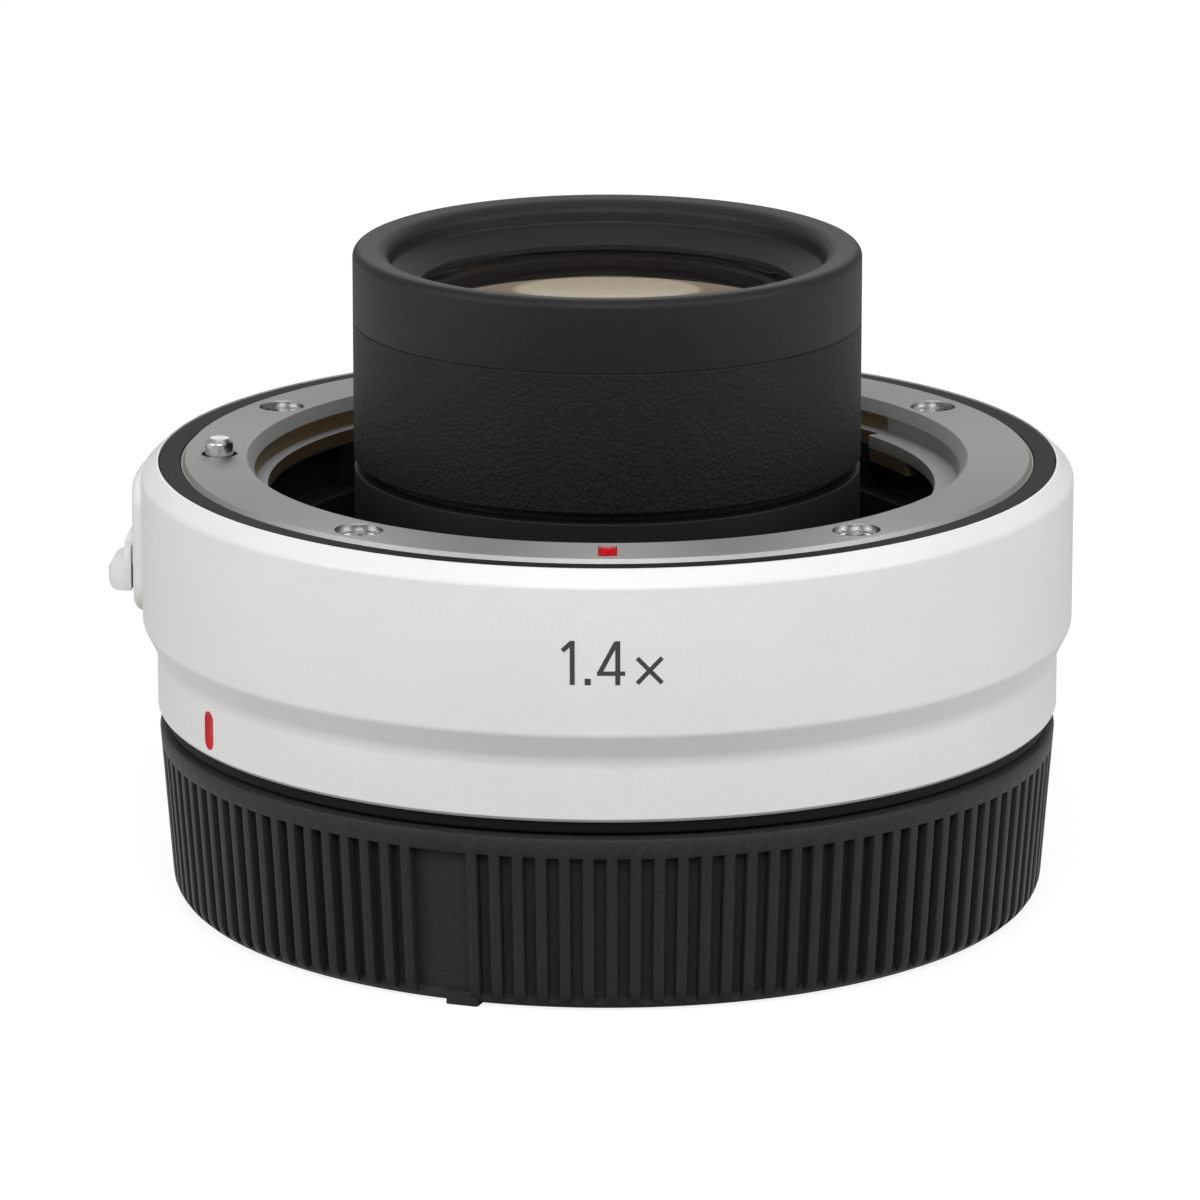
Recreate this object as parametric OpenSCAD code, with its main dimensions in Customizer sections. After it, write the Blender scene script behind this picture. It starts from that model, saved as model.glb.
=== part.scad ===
// Camera teleconverter with its rear cap on, standing on the cap.
// The optical axis is Z, the base of the cap lies on z = 0, and the front mount faces up.
// Azimuths run counter-clockwise seen from the front mount; 270 is the side with the index mark.

/* [Outer barrel] */
// Radial width left for the trim ring round the front mount
trim_w = 1.7; // [1.4:0.05:2.2]
// How far the lower band stands inside the wide wall
waist_step = 1.1; // [0.6:0.1:1.4]
// Wall thickness at the lower band
waist_wall = 1.3; // [1:0.1:1.6]
// Height of the lower band
waist_h = 4.62; // [3.8:0.02:5.4]
// Height of the cone between the lower band and the wide wall
cone_h = 2.21; // [1.6:0.01:2.8]
// Width of the flat lip inside the bevel
lip_w = 0.2; // [0.1:0.05:0.4]
// Radial width of the bevel round the top
bevel_w = 1.2; // [0.9:0.05:1.4]
// Height of the bevel round the top
bevel_h = 1.1; // [0.7:0.05:1.6]
// How far the top of the barrel lies below the front mount face
barrel_drop = 0.17; // [0.1:0.01:0.4]
// Thickness of the dark trim ring round the front mount
trim_t = 0.95; // [0.7:0.05:1.3]

/* [Mounts] */
// Radius of the front throat, from which the other radii follow
throat_r = 26.9; // [25:0.1:29]
// Distance from the rear mount face to the front mount face
mount_depth = 20.3; // [19:0.1:23]
// Radial width of both mount rings outside the throat
mount_w = 5.6; // [5.2:0.1:6.2]
// Thickness of the front mount ring
ring_t = 2; // [1.8:0.1:2.4]
// Depth of the bayonet tabs below the front mount face
tab_drop = 2.08; // [2:0.02:2.4]
// Thickness of the bayonet tabs
tab_t = 1.05; // [0.8:0.05:1.3]
// Reach of the bayonet tabs into the throat
tab_w = 1.9; // [1.6:0.05:2.2]
// Reach of the ledge between the tabs
ledge_w = 1; // [0.8:0.05:1.2]
// Angle of the bayonet twist
twist = 60; // [50:1:64]
// Radius of a mount screw's head
screw_head_r = 1.55; // [1.3:0.05:1.7]
// Radius of a mount screw's shank
screw_r = 0.85; // [0.6:0.05:1]

/* [Lens barrel] */
// Gap of the well between the lens barrel and the bayonet tabs
well_w = 5.67; // [5.2:0.01:6.2]
// Height of the lens tube above the front mount face
tube_h = 10.69; // [9:0.01:13]
// Height of the hood ring
hood_h = 5.51; // [5.2:0.01:7]
// Radial width of the hood's rim, down to the lip inside it
hood_rim_w = 3.13; // [2.7:0.01:3.5]
// Radial width of the funnel between the lip and the front lens
funnel_w = 1.9; // [1.6:0.05:2.2]
// Wall between the lens tube's front pocket and its outside
pocket_wall = 3.98; // [3.6:0.02:4.2]

/* [Optics] */
// Front radius of curvature of the front lens
front_lens_rad = 120; // [90:1:200]
// Thickness of the front lens on the axis
front_lens_t = 2.85; // [2.5:0.05:3.1]
// Front radius of curvature of the cemented triplet
triplet_rad = 45; // [40:1:60]
// Edge thickness of the triplet's two outer elements
triplet_edge_t = 0.5; // [0.4:0.05:0.8]
// Thickness of the triplet's middle element on the axis
triplet_core_t = 1.8; // [1.6:0.1:2.4]
// Edge thickness of the doublet's rear element
doublet_edge_t = 0.55; // [0.4:0.05:0.8]
// Thickness of the doublet's front element on the axis
doublet_core_t = 1.8; // [1.6:0.1:2.4]
// Air gap on the axis between the doublet and the rear lens
rear_air = 2; // [1.6:0.1:2.4]
// Radius of curvature of the rear lens towards the doublet
rear_lens_rad = 55; // [45:1:80]
// Edge thickness of the rear lens
rear_lens_edge_t = 1.3; // [1:0.05:1.6]

/* [Rear cap] */
// Height of the cap
cap_h = 13.7; // [13.2:0.1:16]
// Taper of the cap's wall, on the radius
cap_taper = 0.86; // [0.4:0.02:1.2]
// Radius of the fillet round the cap's base
cap_fillet = 2; // [1.4:0.1:2.6]
// Thickness of the cap's floor
cap_floor = 1.8; // [1.4:0.1:2.4]
// Thickness of the cap's skirt at its thinnest
cap_wall = 1.6; // [1.2:0.1:2]
// Number of grip grooves that would fill the whole turn
groove_count = 125; // [90:1:140]
// Width of a grip groove
groove_w = 0.9; // [0.6:0.05:1.1]
// Depth of a grip groove
groove_d = 0.5; // [0.3:0.05:0.8]
// Plain band above the grip grooves
groove_band = 1.6; // [1.2:0.1:2.4]

/* [Release] */
// Azimuth of the release lever
lever_az = 175.5; // [173:0.5:178]
// Width of the release lever's finger tab
lever_w = 5.6; // [5.2:0.1:6.4]
// Reach of the release lever out from its pad
lever_reach = 1.9; // [1.6:0.1:2.6]
// Travel of the release lever
lever_travel = 1.6; // [1.3:0.1:1.8]
// Radius of the lock pin
pin_r = 1.07; // [0.9:0.01:1.2]
// How far the lock pin stands above the front mount face
pin_proud = 1.23; // [0.9:0.01:1.5]

/* [Contacts] */
// Number of contacts at the front and at the rear
contact_count = 12; // [8:1:13]
// Angle between neighbouring contacts
contact_pitch = 4.4; // [4:0.1:4.6]
// Radius of a contact pin
contact_r = 0.45; // [0.35:0.05:0.5]
// How far a contact pin stands out at rest
contact_proud = 0.8; // [0.7:0.1:1.2]

/* [Hidden] */
$fn = 96;

// Clearances, and how far one solid bites into another or a cutter runs past a face
run_fit = 0.05;
seat_gap = 0.03;
lay_gap = 0.01;
move_gap = 0.3;
bite = 0.2;
over = 1;

// Heights of the main planes
rim_gap = 0.2;
seal_h = 1.03;
rear_z = cap_h + rim_gap;
front_z = rear_z + mount_depth;
barrel_z = rear_z + seal_h;
waist_z = barrel_z + waist_h;
wall_z = waist_z + cone_h;
barrel_top_z = front_z - barrel_drop;
seat_z = front_z - ring_t;
tab_top_z = front_z - tab_drop;
tab_z = tab_top_z - tab_t;

// Radii of the mounts and the barrel round them
tab_r = throat_r - tab_w;
ledge_r = throat_r - ledge_w;
mount_r = throat_r + mount_w;
face_mid_r = (throat_r + mount_r) / 2;
screw_circle_r = face_mid_r + 0.1;
pin_circle_r = face_mid_r - 0.1;
trim_r = mount_r + trim_w;
top_r = trim_r + lip_w;
barrel_r = top_r + bevel_w;
waist_r = barrel_r - waist_step;
bore_r = waist_r - waist_wall;
trim_drop = 0.08;
trim_z = barrel_top_z - trim_drop - trim_t;
frame_r = bore_r - bite;
clamp_lip_r = mount_r - 0.5;
clamp_lip_t = 0.77;

// Front mount and the well under it
rim_r = throat_r + 1.3;
spring_t = 0.2;
spring_z = tab_z - spring_t;
well_r = throat_r + 0.1;
well_wall = 1;
lower_well_r = well_r - 2;
flange_t = 2;
flange_z = seat_z - flange_t;
shelf_depth = 6.7;
well_depth = 10.2;
shelf_z = front_z - shelf_depth;
floor_z = front_z - well_depth;
floor_t = 1.5;
under_z = floor_z - floor_t;
front_tabs = [[-25, 60], [88, 46], [205, 57]];
front_screw_az = [31.2, 148.7, 232.3, 307.7];
front_index_az = 270;
pin_az = 180;
pin_gap = 0.31;
screw_sink = 0.25;
screw_head_h = 0.9;
shank_in_frame = 3.2;
throat_chamfer = [0.6, 0.92];
rim_chamfer = [0.5, 0.23];
stop_arc = 12.6;
stop_drop = 1.1;
finger_margin = 8;
index_depth = 0.3;
index_fill = 0.18;
index_w = 1.1;
index_h = 3;
rear_index_z = barrel_z + waist_h * 0.47;
rear_index_az = front_index_az - twist;

// Rear mount
shim_t = 0.1;
frame_z = barrel_z + clamp_lip_t + shim_t;
rear_ring_t = 2;
lug_r = throat_r - 0.2;
lug_t = 1.4;
lug_arc = 40;
lug_az = [5, 111, 233.5];
neck_r = tab_r - 0.1;
neck_wall = 2.1;
neck_in_r = neck_r - neck_wall;
neck_l = 5;
neck_z = rear_z - neck_l;
lug_z = neck_z + bite;
rear_screw_az = [45, 135, 225, 315];
rear_shank_l = 2.6;
chamber_r = neck_in_r + 2.7;
frame_wall_r = chamber_r + 2;

// Lens barrel
tube_r = tab_r - well_w;
hood_lip_r = tube_r - hood_rim_w;
hood_throat_r = hood_lip_r - funnel_w;
collar_r = tube_r - 0.03;
shank_r = tube_r - 1.58;
collar_top_z = front_z - 0.7;
groove_top_z = front_z + 0.05;
groove_r = tube_r - 0.6;
seam_z = front_z + tube_h;
spigot_r = tube_r - 1;
spigot_z = seam_z + 1.9;
hood_z = seam_z + hood_h;
tube_flange_r = tube_r + 3.67;
tube_flange_t = 1.8;
tube_flange_z = under_z - tube_flange_t;
rear_tube_r = tube_r - 2.33;
tube_end_z = neck_z + 1.6;
tube_screw_az = [30, 150, 270];
tube_screw_r = (tube_r + tube_flange_r) / 2;
baffle_t = 0.9;

// Optics, from the seam down and from the rear end up
pocket_r = tube_r - pocket_wall;
front_edge_r = pocket_r - run_fit;
glass_z = seam_z + 2.06;
front_vertex_z = glass_z - seat_gap + sag(front_lens_rad, hood_throat_r);
front_back_rad = 300;
lens_steps = 12;
front_back_z = front_vertex_z - front_lens_t;
pocket_z = seam_z - 0.89;
mid_bore_r = pocket_r - 1.35;
triplet_edge_r = mid_bore_r - run_fit;
triplet_clear_r = mid_bore_r - 1.1;
spacer_r = triplet_clear_r + 0.3;
retainer_drop = 0.4;
triplet_z = seam_z - 1.59;
triplet_rads = [triplet_rad, 50, 40, 80];
triplet_t = [triplet_edge_t + sag(triplet_rads[0], triplet_edge_r) + sag(triplet_rads[1], triplet_edge_r),
    triplet_core_t,
    triplet_edge_t + sag(triplet_rads[2], triplet_edge_r) + sag(triplet_rads[3], triplet_edge_r)];
triplet_planes = [triplet_z, triplet_z - triplet_t[0], triplet_z - triplet_t[0] - triplet_t[1],
    triplet_z - triplet_t[0] - triplet_t[1] - triplet_t[2]];
septum_r = mid_bore_r - 1.5;
septum_z = triplet_planes[3] + sag(triplet_rads[3], septum_r) - seat_gap;
cement = 0.02;
rear_bore_r = rear_tube_r - 2;
rear_edge_r = rear_bore_r - run_fit;
rear_clear_r = rear_bore_r - 1.6;
retainer_h = 2;
rear_back_rad = 150;
rear_vertex_z = tube_end_z + bite + retainer_h - sag(rear_back_rad, rear_clear_r) + seat_gap;
rear_lens_t = rear_lens_edge_t + sag(rear_lens_rad, rear_edge_r) + sag(rear_back_rad, rear_edge_r);
rear_front_z = rear_vertex_z + rear_lens_t;
rear_spacer_z = rear_front_z - sag(rear_lens_rad, rear_clear_r) + seat_gap;
doublet_rads = [50, 45, 60];
doublet_z = rear_front_z + rear_air;
rear_spacer_h = doublet_z + sag(doublet_rads[2], rear_clear_r) - seat_gap - rear_spacer_z;
doublet_rear_t = doublet_edge_t + sag(doublet_rads[1], rear_edge_r) + sag(doublet_rads[2], rear_edge_r);
doublet_joint_z = doublet_z + doublet_rear_t;
doublet_top_z = doublet_joint_z + doublet_core_t;
septum_under_z = doublet_top_z + sag(doublet_rads[0], rear_edge_r) + seat_gap;
baffle_screw_r = (rear_bore_r + rear_tube_r) / 2;
baffle_screw_az = [90, 210, 330];

// Cap
cap_r = waist_r - 0.14;
cap_base_r = cap_r - cap_taper;
cap_edge = 0.4;
cap_lean = atan(cap_taper / (cap_h - cap_fillet));
skirt_r = cap_base_r - cap_wall;
collar_in_r = lug_r + move_gap;
cap_collar_wall = 1.6;
cap_tab_r = neck_r + move_gap;
cap_tab_z = lug_z + lug_t + 0.15;
cap_tab_t = 1.05;
pad_az = 248.6;
pad_grooves = 3;
groove_pitch = 360 / groove_count;
nub_az = 251;
nub_w = 2.5;
nub_l = 2.5;
nub_h = 1.1;

// Small screws: their heads, how deep each kind bites, and the room past a tip
small_r = 0.5;
small_head_r = 0.9;
small_head_h = 0.6;
tip_room = 0.4;
block_thread = 2;
board_thread = 1.6;
leg_thread = 1;
tube_thread = 1.2;
baffle_thread = 1.6;
lever_shank_l = 2.4;

// Release lever and its lock pin
boss_out = 0.7;
boss_r = barrel_r + boss_out;
boss_az = lever_az - 2;
boss_w = 11.8;
boss_z = wall_z - 0.06;
boss_top_z = barrel_top_z - bevel_h - 0.4;
boss_edge = 1.2;
tab_foot_z = boss_z + 1.6;
tab_root_h = 4.5;
scoop_r = 2.5;
scoop_out = 0.45;
scoop_up = 4.35;
lever_gap = 0.1;
lever_r = boss_r + lever_gap + lever_reach;
slot_w = lever_w - 0.6;
link_w = slot_w - 2 * move_gap;
link_h = 2;
link_lap = 0.6;
link_z = tab_foot_z + lever_travel + move_gap;
carriage_r = bore_r - move_gap;
carriage_t = 1;
carriage_in_r = carriage_r - carriage_t;
arm_t = 1.6;
stop_gap = 0.2;
stop_h = 0.8;
stop_r = pin_r + 0.28;
arm_top_z = flange_z - stop_gap - stop_h;
arm_z = arm_top_z - arm_t;
arm_in_r = well_r + well_wall + move_gap;
carriage_z = link_z - 2.5;
lever_screw_y = link_w * 0.27;
lever_screw_r = carriage_in_r - 0.1 - small_head_h;
tail_r = 0.6;
coil_r = 1.2;
wire_r = 0.2;
coil_turns = 7;
spring_l = 6.6;
perch_z = arm_z - spring_l;
perch_r = 2.2;
coil_rings = 8;
coil_sides = 6;
coil_clear = 0.05;
coil_h = spring_l - 2 * (wire_r + coil_clear);
coil_steps = coil_turns * coil_rings;

// Contacts and electronics
contact_az = 90;
contact_span = contact_pitch * (contact_count - 1);
block_in_r = collar_r + 0.7;
block_r = lower_well_r - 0.1;
block_z = shelf_z + 1.1;
contact_circle_r = (block_in_r + block_r) / 2;
contact_travel = 0.6;
sleeve_wall = 0.15;
sleeve_floor = 0.4;
sleeve_z = floor_z + 0.6;
block_margin = 9;
block_arc = contact_span + 2 * block_margin;
block_screw_az = [contact_az - contact_span / 2 - block_margin / 2,
    contact_az + contact_span / 2 + block_margin / 2];
liner_arc = 104;
liner_t = 0.8;
board_t = 1;
board_z = frame_z + rear_ring_t + lay_gap;
board_in_r = frame_wall_r + 0.3;
board_r = frame_r - 0.3;
board_start = -60;
board_arc = 210;
board_screw_r = (board_in_r + board_r) / 2;
board_screw_az = [board_start + 5, 62, board_start + board_arc - 5];
plug_h = 1.2;
plug_z = board_z + board_t;
plug_w = 9;
plug_l = 3;
plug_y = board_in_r + 0.7;
flex_t = 0.2;
flex_w = 8;
flex_lap = 2.4;
front_flex_y = tube_flange_r + over;
rear_block_r = neck_in_r - move_gap;
rear_block_in_r = rear_block_r - 3.1;
rear_block_h = 3.6;
rear_block_z = neck_z + move_gap;
rear_flex_y = rear_block_in_r + 1.6;
pad_r = 0.6;
pad_depth = 1.2;
pad_proud = 0.1;
leg_arc = 8;
leg_inset = 1;
rear_leg_az = [contact_az - block_arc / 2, contact_az + block_arc / 2 - leg_arc];
rear_leg_r = (rear_block_in_r + rear_block_r) / 2;

function sag(rad, r) = rad - sqrt(rad * rad - r * r);
function tab_end(i) = front_tabs[i][0] + front_tabs[i][1];
function tab_gap(i) =
    (i + 1 < len(front_tabs) ? front_tabs[i + 1][0] : front_tabs[0][0] + 360) - tab_end(i);
function contact_angle(i) = contact_az + (i - (contact_count - 1) / 2) * contact_pitch;

// A profile of radius and height turned round the optical axis
module turned(points) {
    rotate_extrude() polygon(points);
}

// A plain ring
module ring(in_r, out_r, z, h) {
    turned([[in_r, z], [out_r, z], [out_r, z + h], [in_r, z + h]]);
}

// Part of a ring, from one azimuth on
module ring_arc(in_r, out_r, z, h, start, arc) {
    rotate([0, 0, start])
        rotate_extrude(angle = arc)
            translate([in_r, z])
                square([out_r - in_r, h]);
}

// Stands its child on a circle round the axis
module on_circle(az, r, z) {
    rotate([0, 0, az]) translate([r, 0, z]) children();
}

// Turns a child that stands on Z so that it points outwards at an azimuth
module outwards(az, r, z, side = 0) {
    rotate([0, 0, az]) translate([r, side, z]) rotate([0, 90, 0]) children();
}

// A screw with its head's top at z = 0 and a cross recess in the head
module screw(head_r, head_h, shank_r, shank_l) {
    difference() {
        union() {
            translate([0, 0, -head_h]) cylinder(r = head_r, h = head_h);
            translate([0, 0, -head_h - shank_l]) cylinder(r = shank_r, h = shank_l + bite);
        }
        for (turn = [0, 90])
            rotate([0, 0, turn])
                cube([head_r * 1.2, head_r * 0.28, head_h], center = true);
    }
}

// A ball that bounds a lens face, with its pole at a height; a negative radius puts it below
module lens_ball(pole_z, rad) {
    translate([0, 0, pole_z - rad]) sphere(r = abs(rad), $fn = 360);
}

module outer_barrel() {
    color("white")
        difference() {
            union() {
                turned([[clamp_lip_r, barrel_z], [waist_r - bite, barrel_z],
                    [waist_r, barrel_z + bite], [waist_r, waist_z], [barrel_r, wall_z],
                    [barrel_r, barrel_top_z - bevel_h], [top_r, barrel_top_z],
                    [trim_r + run_fit, barrel_top_z], [trim_r + run_fit, trim_z],
                    [bore_r, trim_z], [bore_r, barrel_z + clamp_lip_t],
                    [clamp_lip_r, barrel_z + clamp_lip_t]]);
                lever_boss();
            }
            lever_slot();
            index_groove(waist_r - index_depth, index_depth + bite);
        }
}

// Raised pad on the wall that frames the release lever
module lever_boss() {
    boss_in_r = bore_r + bite;
    intersection() {
        turned([[0, boss_z], [barrel_r - bite, boss_z], [boss_r, boss_z + boss_edge],
            [boss_r, boss_top_z - boss_edge], [barrel_r - bite, boss_top_z], [0, boss_top_z]]);
        outwards(boss_az, boss_in_r, (boss_z + boss_top_z) / 2)
            linear_extrude(boss_r - boss_in_r + over)
                rounded_bar(boss_top_z - boss_z, boss_w, boss_edge * 2);
    }
}

// A rectangle with round corners, centred
module rounded_bar(w, h, r) {
    square([w - 2 * r, h], center = true);
    square([w, h - 2 * r], center = true);
    for (x = [-1, 1], y = [-1, 1])
        translate([x * (w / 2 - r), y * (h / 2 - r)])
            circle(r = r);
}

module lever_slot() {
    slot_z = link_z - lever_travel - move_gap;
    slot_h = link_h + lever_travel + 2 * move_gap;
    rotate([0, 0, lever_az])
        translate([bore_r - over, -slot_w / 2, slot_z])
            cube([boss_r - bore_r + 2 * over, slot_w, slot_h]);
}

// Upright groove with round ends in the lower band
module index_groove(r, depth, shrink = 0) {
    for (end = [-1, 1])
        outwards(rear_index_az, r, rear_index_z + end * (index_h - index_w) / 2)
            cylinder(r = index_w / 2 - shrink, h = depth);
    rotate([0, 0, rear_index_az])
        translate([r, -index_w / 2 + shrink, rear_index_z - (index_h - index_w) / 2])
            cube([depth, index_w - 2 * shrink, index_h - index_w]);
}

module rear_index_mark() {
    color("crimson") index_groove(waist_r - index_depth, index_fill, lay_gap);
}

module front_trim_ring() {
    color("dimgray") ring(mount_r + run_fit, trim_r, trim_z, trim_t);
}

// Steel ring with three bayonet tabs, a stop under one of them and its screw, pin and index recesses
module front_mount_ring() {
    inset = 0.05;
    color("lightgray")
        difference() {
            union() {
                difference() {
                    turned([[tab_r, tab_z], [tab_r, tab_top_z], [throat_r, tab_top_z],
                        [throat_r, front_z - throat_chamfer[1]], [throat_r + throat_chamfer[0], front_z],
                        [mount_r - rim_chamfer[0], front_z], [mount_r, front_z - rim_chamfer[1]],
                        [mount_r, seat_z], [rim_r, seat_z], [rim_r, tab_z]]);
                    for (i = [0 : len(front_tabs) - 1])
                        tab_notch(tab_end(i), tab_gap(i));
                }
                ring_arc(tab_r + inset, ledge_r + bite, tab_z - stop_drop, stop_drop + tab_t / 2,
                    tab_end(0) - stop_arc, stop_arc - inset);
            }
            for (az = front_screw_az)
                on_circle(az, screw_circle_r, 0) mount_screw_hole(front_z, seat_z);
            on_circle(pin_az, pin_circle_r, seat_z - bite)
                cylinder(r = pin_r + pin_gap, h = ring_t + over);
            front_index(0, over);
        }
}

// Cuts the ledge back between two tabs, so that a lug can pass
module tab_notch(start, arc) {
    ring_arc(tab_r - over, ledge_r, tab_z - over, tab_t + 2 * over, start, arc);
}

// Stepped hole for a mount screw, with its wide end at the face
module mount_screw_hole(face_z, back_z) {
    out = face_z > back_z ? 1 : -1;
    flip = out > 0 ? 0 : 180;
    deep = screw_sink + screw_head_h;
    translate([0, 0, face_z])
        rotate([flip, 0, 0]) {
            translate([0, 0, -deep]) cylinder(r = screw_head_r + bite, h = deep + over);
            translate([0, 0, -abs(face_z - back_z) - over])
                cylinder(r = screw_r + 3 * run_fit, h = abs(face_z - back_z) + over);
        }
}

// Radial slot for the red mark on the mount face
module front_index(shrink, above) {
    slot_in_r = throat_r + 1.4;
    slot_l = 3.1;
    slot_width = 1.4;
    rotate([0, 0, front_index_az])
        translate([slot_in_r + shrink, -slot_width / 2 + shrink, front_z - index_depth])
            cube([slot_l - 2 * shrink, slot_width - 2 * shrink, index_fill + above]);
}

module front_index_mark() {
    color("crimson") front_index(lay_gap, 0);
}

module front_mount_screws() {
    color("silver")
        for (az = front_screw_az)
            on_circle(az, screw_circle_r, front_z - screw_sink)
                screw(screw_head_r, screw_head_h, screw_r, shank_in_frame);
}

// Thin ring with three sprung fingers that press a mating bayonet up against the tabs
module front_leaf_spring() {
    color("darkgray")
        difference() {
            ring(ledge_r + bite + 0.1, rim_r, spring_z, spring_t);
            for (tab = front_tabs)
                ring_arc(throat_r, throat_r + 0.4, spring_z - bite, spring_t + over,
                    tab[0] + finger_margin, tab[1] - 2 * finger_margin);
        }
}

// Black chassis that carries both mounts, the lens tube and the contacts
module inner_frame() {
    color([0.11, 0.11, 0.12])
        difference() {
            union() {
                turned([[shank_r + run_fit, under_z], [chamber_r, under_z], [chamber_r, frame_z],
                    [frame_r, frame_z], [frame_r, frame_z + rear_ring_t],
                    [frame_wall_r, frame_z + rear_ring_t],
                    [frame_wall_r, shelf_z - 1.5], [well_r + well_wall, shelf_z - 0.5],
                    [well_r + well_wall, flange_z], [frame_r, flange_z], [frame_r, seat_z],
                    [rim_r + run_fit, seat_z], [rim_r + run_fit, spring_z],
                    [well_r, spring_z], [well_r, shelf_z], [lower_well_r, shelf_z],
                    [lower_well_r, floor_z], [collar_r, floor_z], [collar_r, collar_top_z],
                    [shank_r + run_fit, collar_top_z]]);
                on_circle(pin_az, pin_circle_r, board_z - bite)
                    cylinder(r = perch_r, h = perch_z - board_z + bite);
            }
            for (az = front_screw_az)
                on_circle(az, screw_circle_r, flange_z - over)
                    cylinder(r = screw_r + run_fit, h = flange_t + 2 * over);
            for (az = rear_screw_az)
                on_circle(az, screw_circle_r, frame_z - over)
                    cylinder(r = screw_r + run_fit, h = rear_ring_t + 2 * over);
            on_circle(pin_az, pin_circle_r, flange_z - over)
                cylinder(r = pin_r + run_fit, h = flange_t + 2 * over);
            for (az = tube_screw_az)
                on_circle(az, tube_screw_r, under_z - over)
                    cylinder(r = small_r + run_fit, h = floor_t + 2 * over);
            for (az = block_screw_az)
                on_circle(az, contact_circle_r, under_z - over)
                    cylinder(r = small_r + run_fit, h = floor_t + 2 * over);
            for (az = board_screw_az)
                on_circle(az, board_screw_r, frame_z - over)
                    cylinder(r = small_r + run_fit, h = rear_ring_t + 2 * over);
            flex_window();
        }
}

// Slot in the chassis wall and floor that lets the flat cables through
module flex_window() {
    translate([-flex_w / 2 - bite, 0, plug_z])
        cube([flex_w + 2 * bite, frame_wall_r + over, plug_h + flex_t + move_gap]);
    translate([-flex_w / 2 - bite, front_flex_y - bite, under_z - over])
        cube([flex_w + 2 * bite, flex_t + 2 * bite, floor_t + 2 * over]);
}

// Moulded block at the back of the well, with a curved liner that follows the well wall
module front_contact_block() {
    color([0.09, 0.09, 0.1])
        difference() {
            union() {
                rotate([0, 0, contact_az - block_arc / 2])
                    rotate_extrude(angle = block_arc)
                        polygon([[block_in_r, floor_z + lay_gap], [block_r, floor_z + lay_gap],
                            [block_r, shelf_z + bite], [well_r - liner_t, shelf_z + bite],
                            [well_r - liner_t, block_z], [block_in_r, block_z]]);
                ring_arc(well_r - 0.1 - liner_t, well_r - 0.1, shelf_z + lay_gap,
                    spring_z - shelf_z - run_fit, contact_az - liner_arc / 2, liner_arc);
            }
            for (i = [0 : contact_count - 1])
                on_circle(contact_angle(i), contact_circle_r, sleeve_z)
                    cylinder(r = contact_r + run_fit + sleeve_wall + seat_gap, h = block_z);
            for (az = block_screw_az)
                on_circle(az, contact_circle_r, floor_z - over)
                    cylinder(r = small_r + run_fit, h = over + block_thread + tip_room);
        }
}

// Blind brass sleeves that guide the contact pins
module front_contact_sleeves() {
    color("goldenrod")
        for (i = [0 : contact_count - 1])
            on_circle(contact_angle(i), contact_circle_r, sleeve_z)
                difference() {
                    cylinder(r = contact_r + run_fit + sleeve_wall, h = block_z - sleeve_z);
                    translate([0, 0, sleeve_floor]) cylinder(r = contact_r + run_fit, h = block_z);
                }
}

// Gilt pins with round tips, drawn up by springs inside their sleeves
module contact_pins() {
    pin_z = sleeve_z + sleeve_floor + contact_travel + move_gap;
    color("gold")
        for (i = [0 : contact_count - 1])
            on_circle(contact_angle(i), contact_circle_r, 0) {
                translate([0, 0, pin_z])
                    cylinder(r = contact_r, h = block_z + contact_proud - contact_r - pin_z);
                translate([0, 0, block_z + contact_proud - contact_r])
                    sphere(r = contact_r, $fn = 24);
            }
}

module contact_block_screws() {
    color("silver")
        for (az = block_screw_az)
            on_circle(az, contact_circle_r, under_z - small_head_h)
                mirror([0, 0, 1])
                    screw(small_head_r, small_head_h, small_r, floor_t + block_thread);
}

module circuit_board() {
    color("darkgreen")
        difference() {
            ring_arc(board_in_r, board_r, board_z, board_t, board_start, board_arc);
            for (az = board_screw_az)
                on_circle(az, board_screw_r, board_z - over)
                    cylinder(r = small_r + run_fit, h = board_t + 2 * over);
            for (az = rear_screw_az)
                on_circle(az, screw_circle_r, board_z - over)
                    cylinder(r = screw_r + move_gap, h = board_t + 2 * over);
        }
}

module board_screws() {
    color("silver")
        for (az = board_screw_az)
            on_circle(az, board_screw_r, board_z + board_t + small_head_h)
                screw(small_head_r, small_head_h, small_r, board_t + board_thread);
}

// The processor, its memory and the socket that takes both flat cables
module board_chips() {
    color([0.07, 0.07, 0.08]) {
        on_circle(15, board_screw_r, plug_z)
            translate([-1.9, -3, 0])
                cube([3.8, 6, 1]);
        on_circle(-20, board_screw_r, plug_z)
            translate([-1.4, -2, 0])
                cube([2.8, 4, 0.8]);
        on_circle(118, board_screw_r, plug_z)
            translate([-1.6, -2.4, 0])
                cube([3.2, 4.8, 0.9]);
        translate([-plug_w / 2, plug_y, plug_z])
            cube([plug_w, plug_l, plug_h]);
    }
}

// Flat cable from the contact block down through the chassis floor and out over the board
module front_flex_cable() {
    top_z = plug_z + plug_h;
    color("darkorange")
        translate([-flex_w / 2, 0, 0]) {
            translate([0, front_flex_y, top_z])
                cube([flex_w, flex_t, floor_z - top_z]);
            translate([0, front_flex_y, top_z])
                cube([flex_w, plug_y + flex_lap - front_flex_y, flex_t]);
        }
}

// Flat cable from the rear contact block up and out to the same socket
module rear_flex_cable() {
    run_z = plug_z + 0.4;
    foot_z = rear_block_z + rear_block_h;
    color("darkorange")
        translate([-flex_w / 2, 0, 0]) {
            translate([0, rear_flex_y, foot_z])
                cube([flex_w, flex_t, run_z + flex_t - foot_z]);
            translate([0, rear_flex_y, run_z])
                cube([flex_w, plug_y - seat_gap - rear_flex_y, flex_t]);
        }
}

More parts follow.
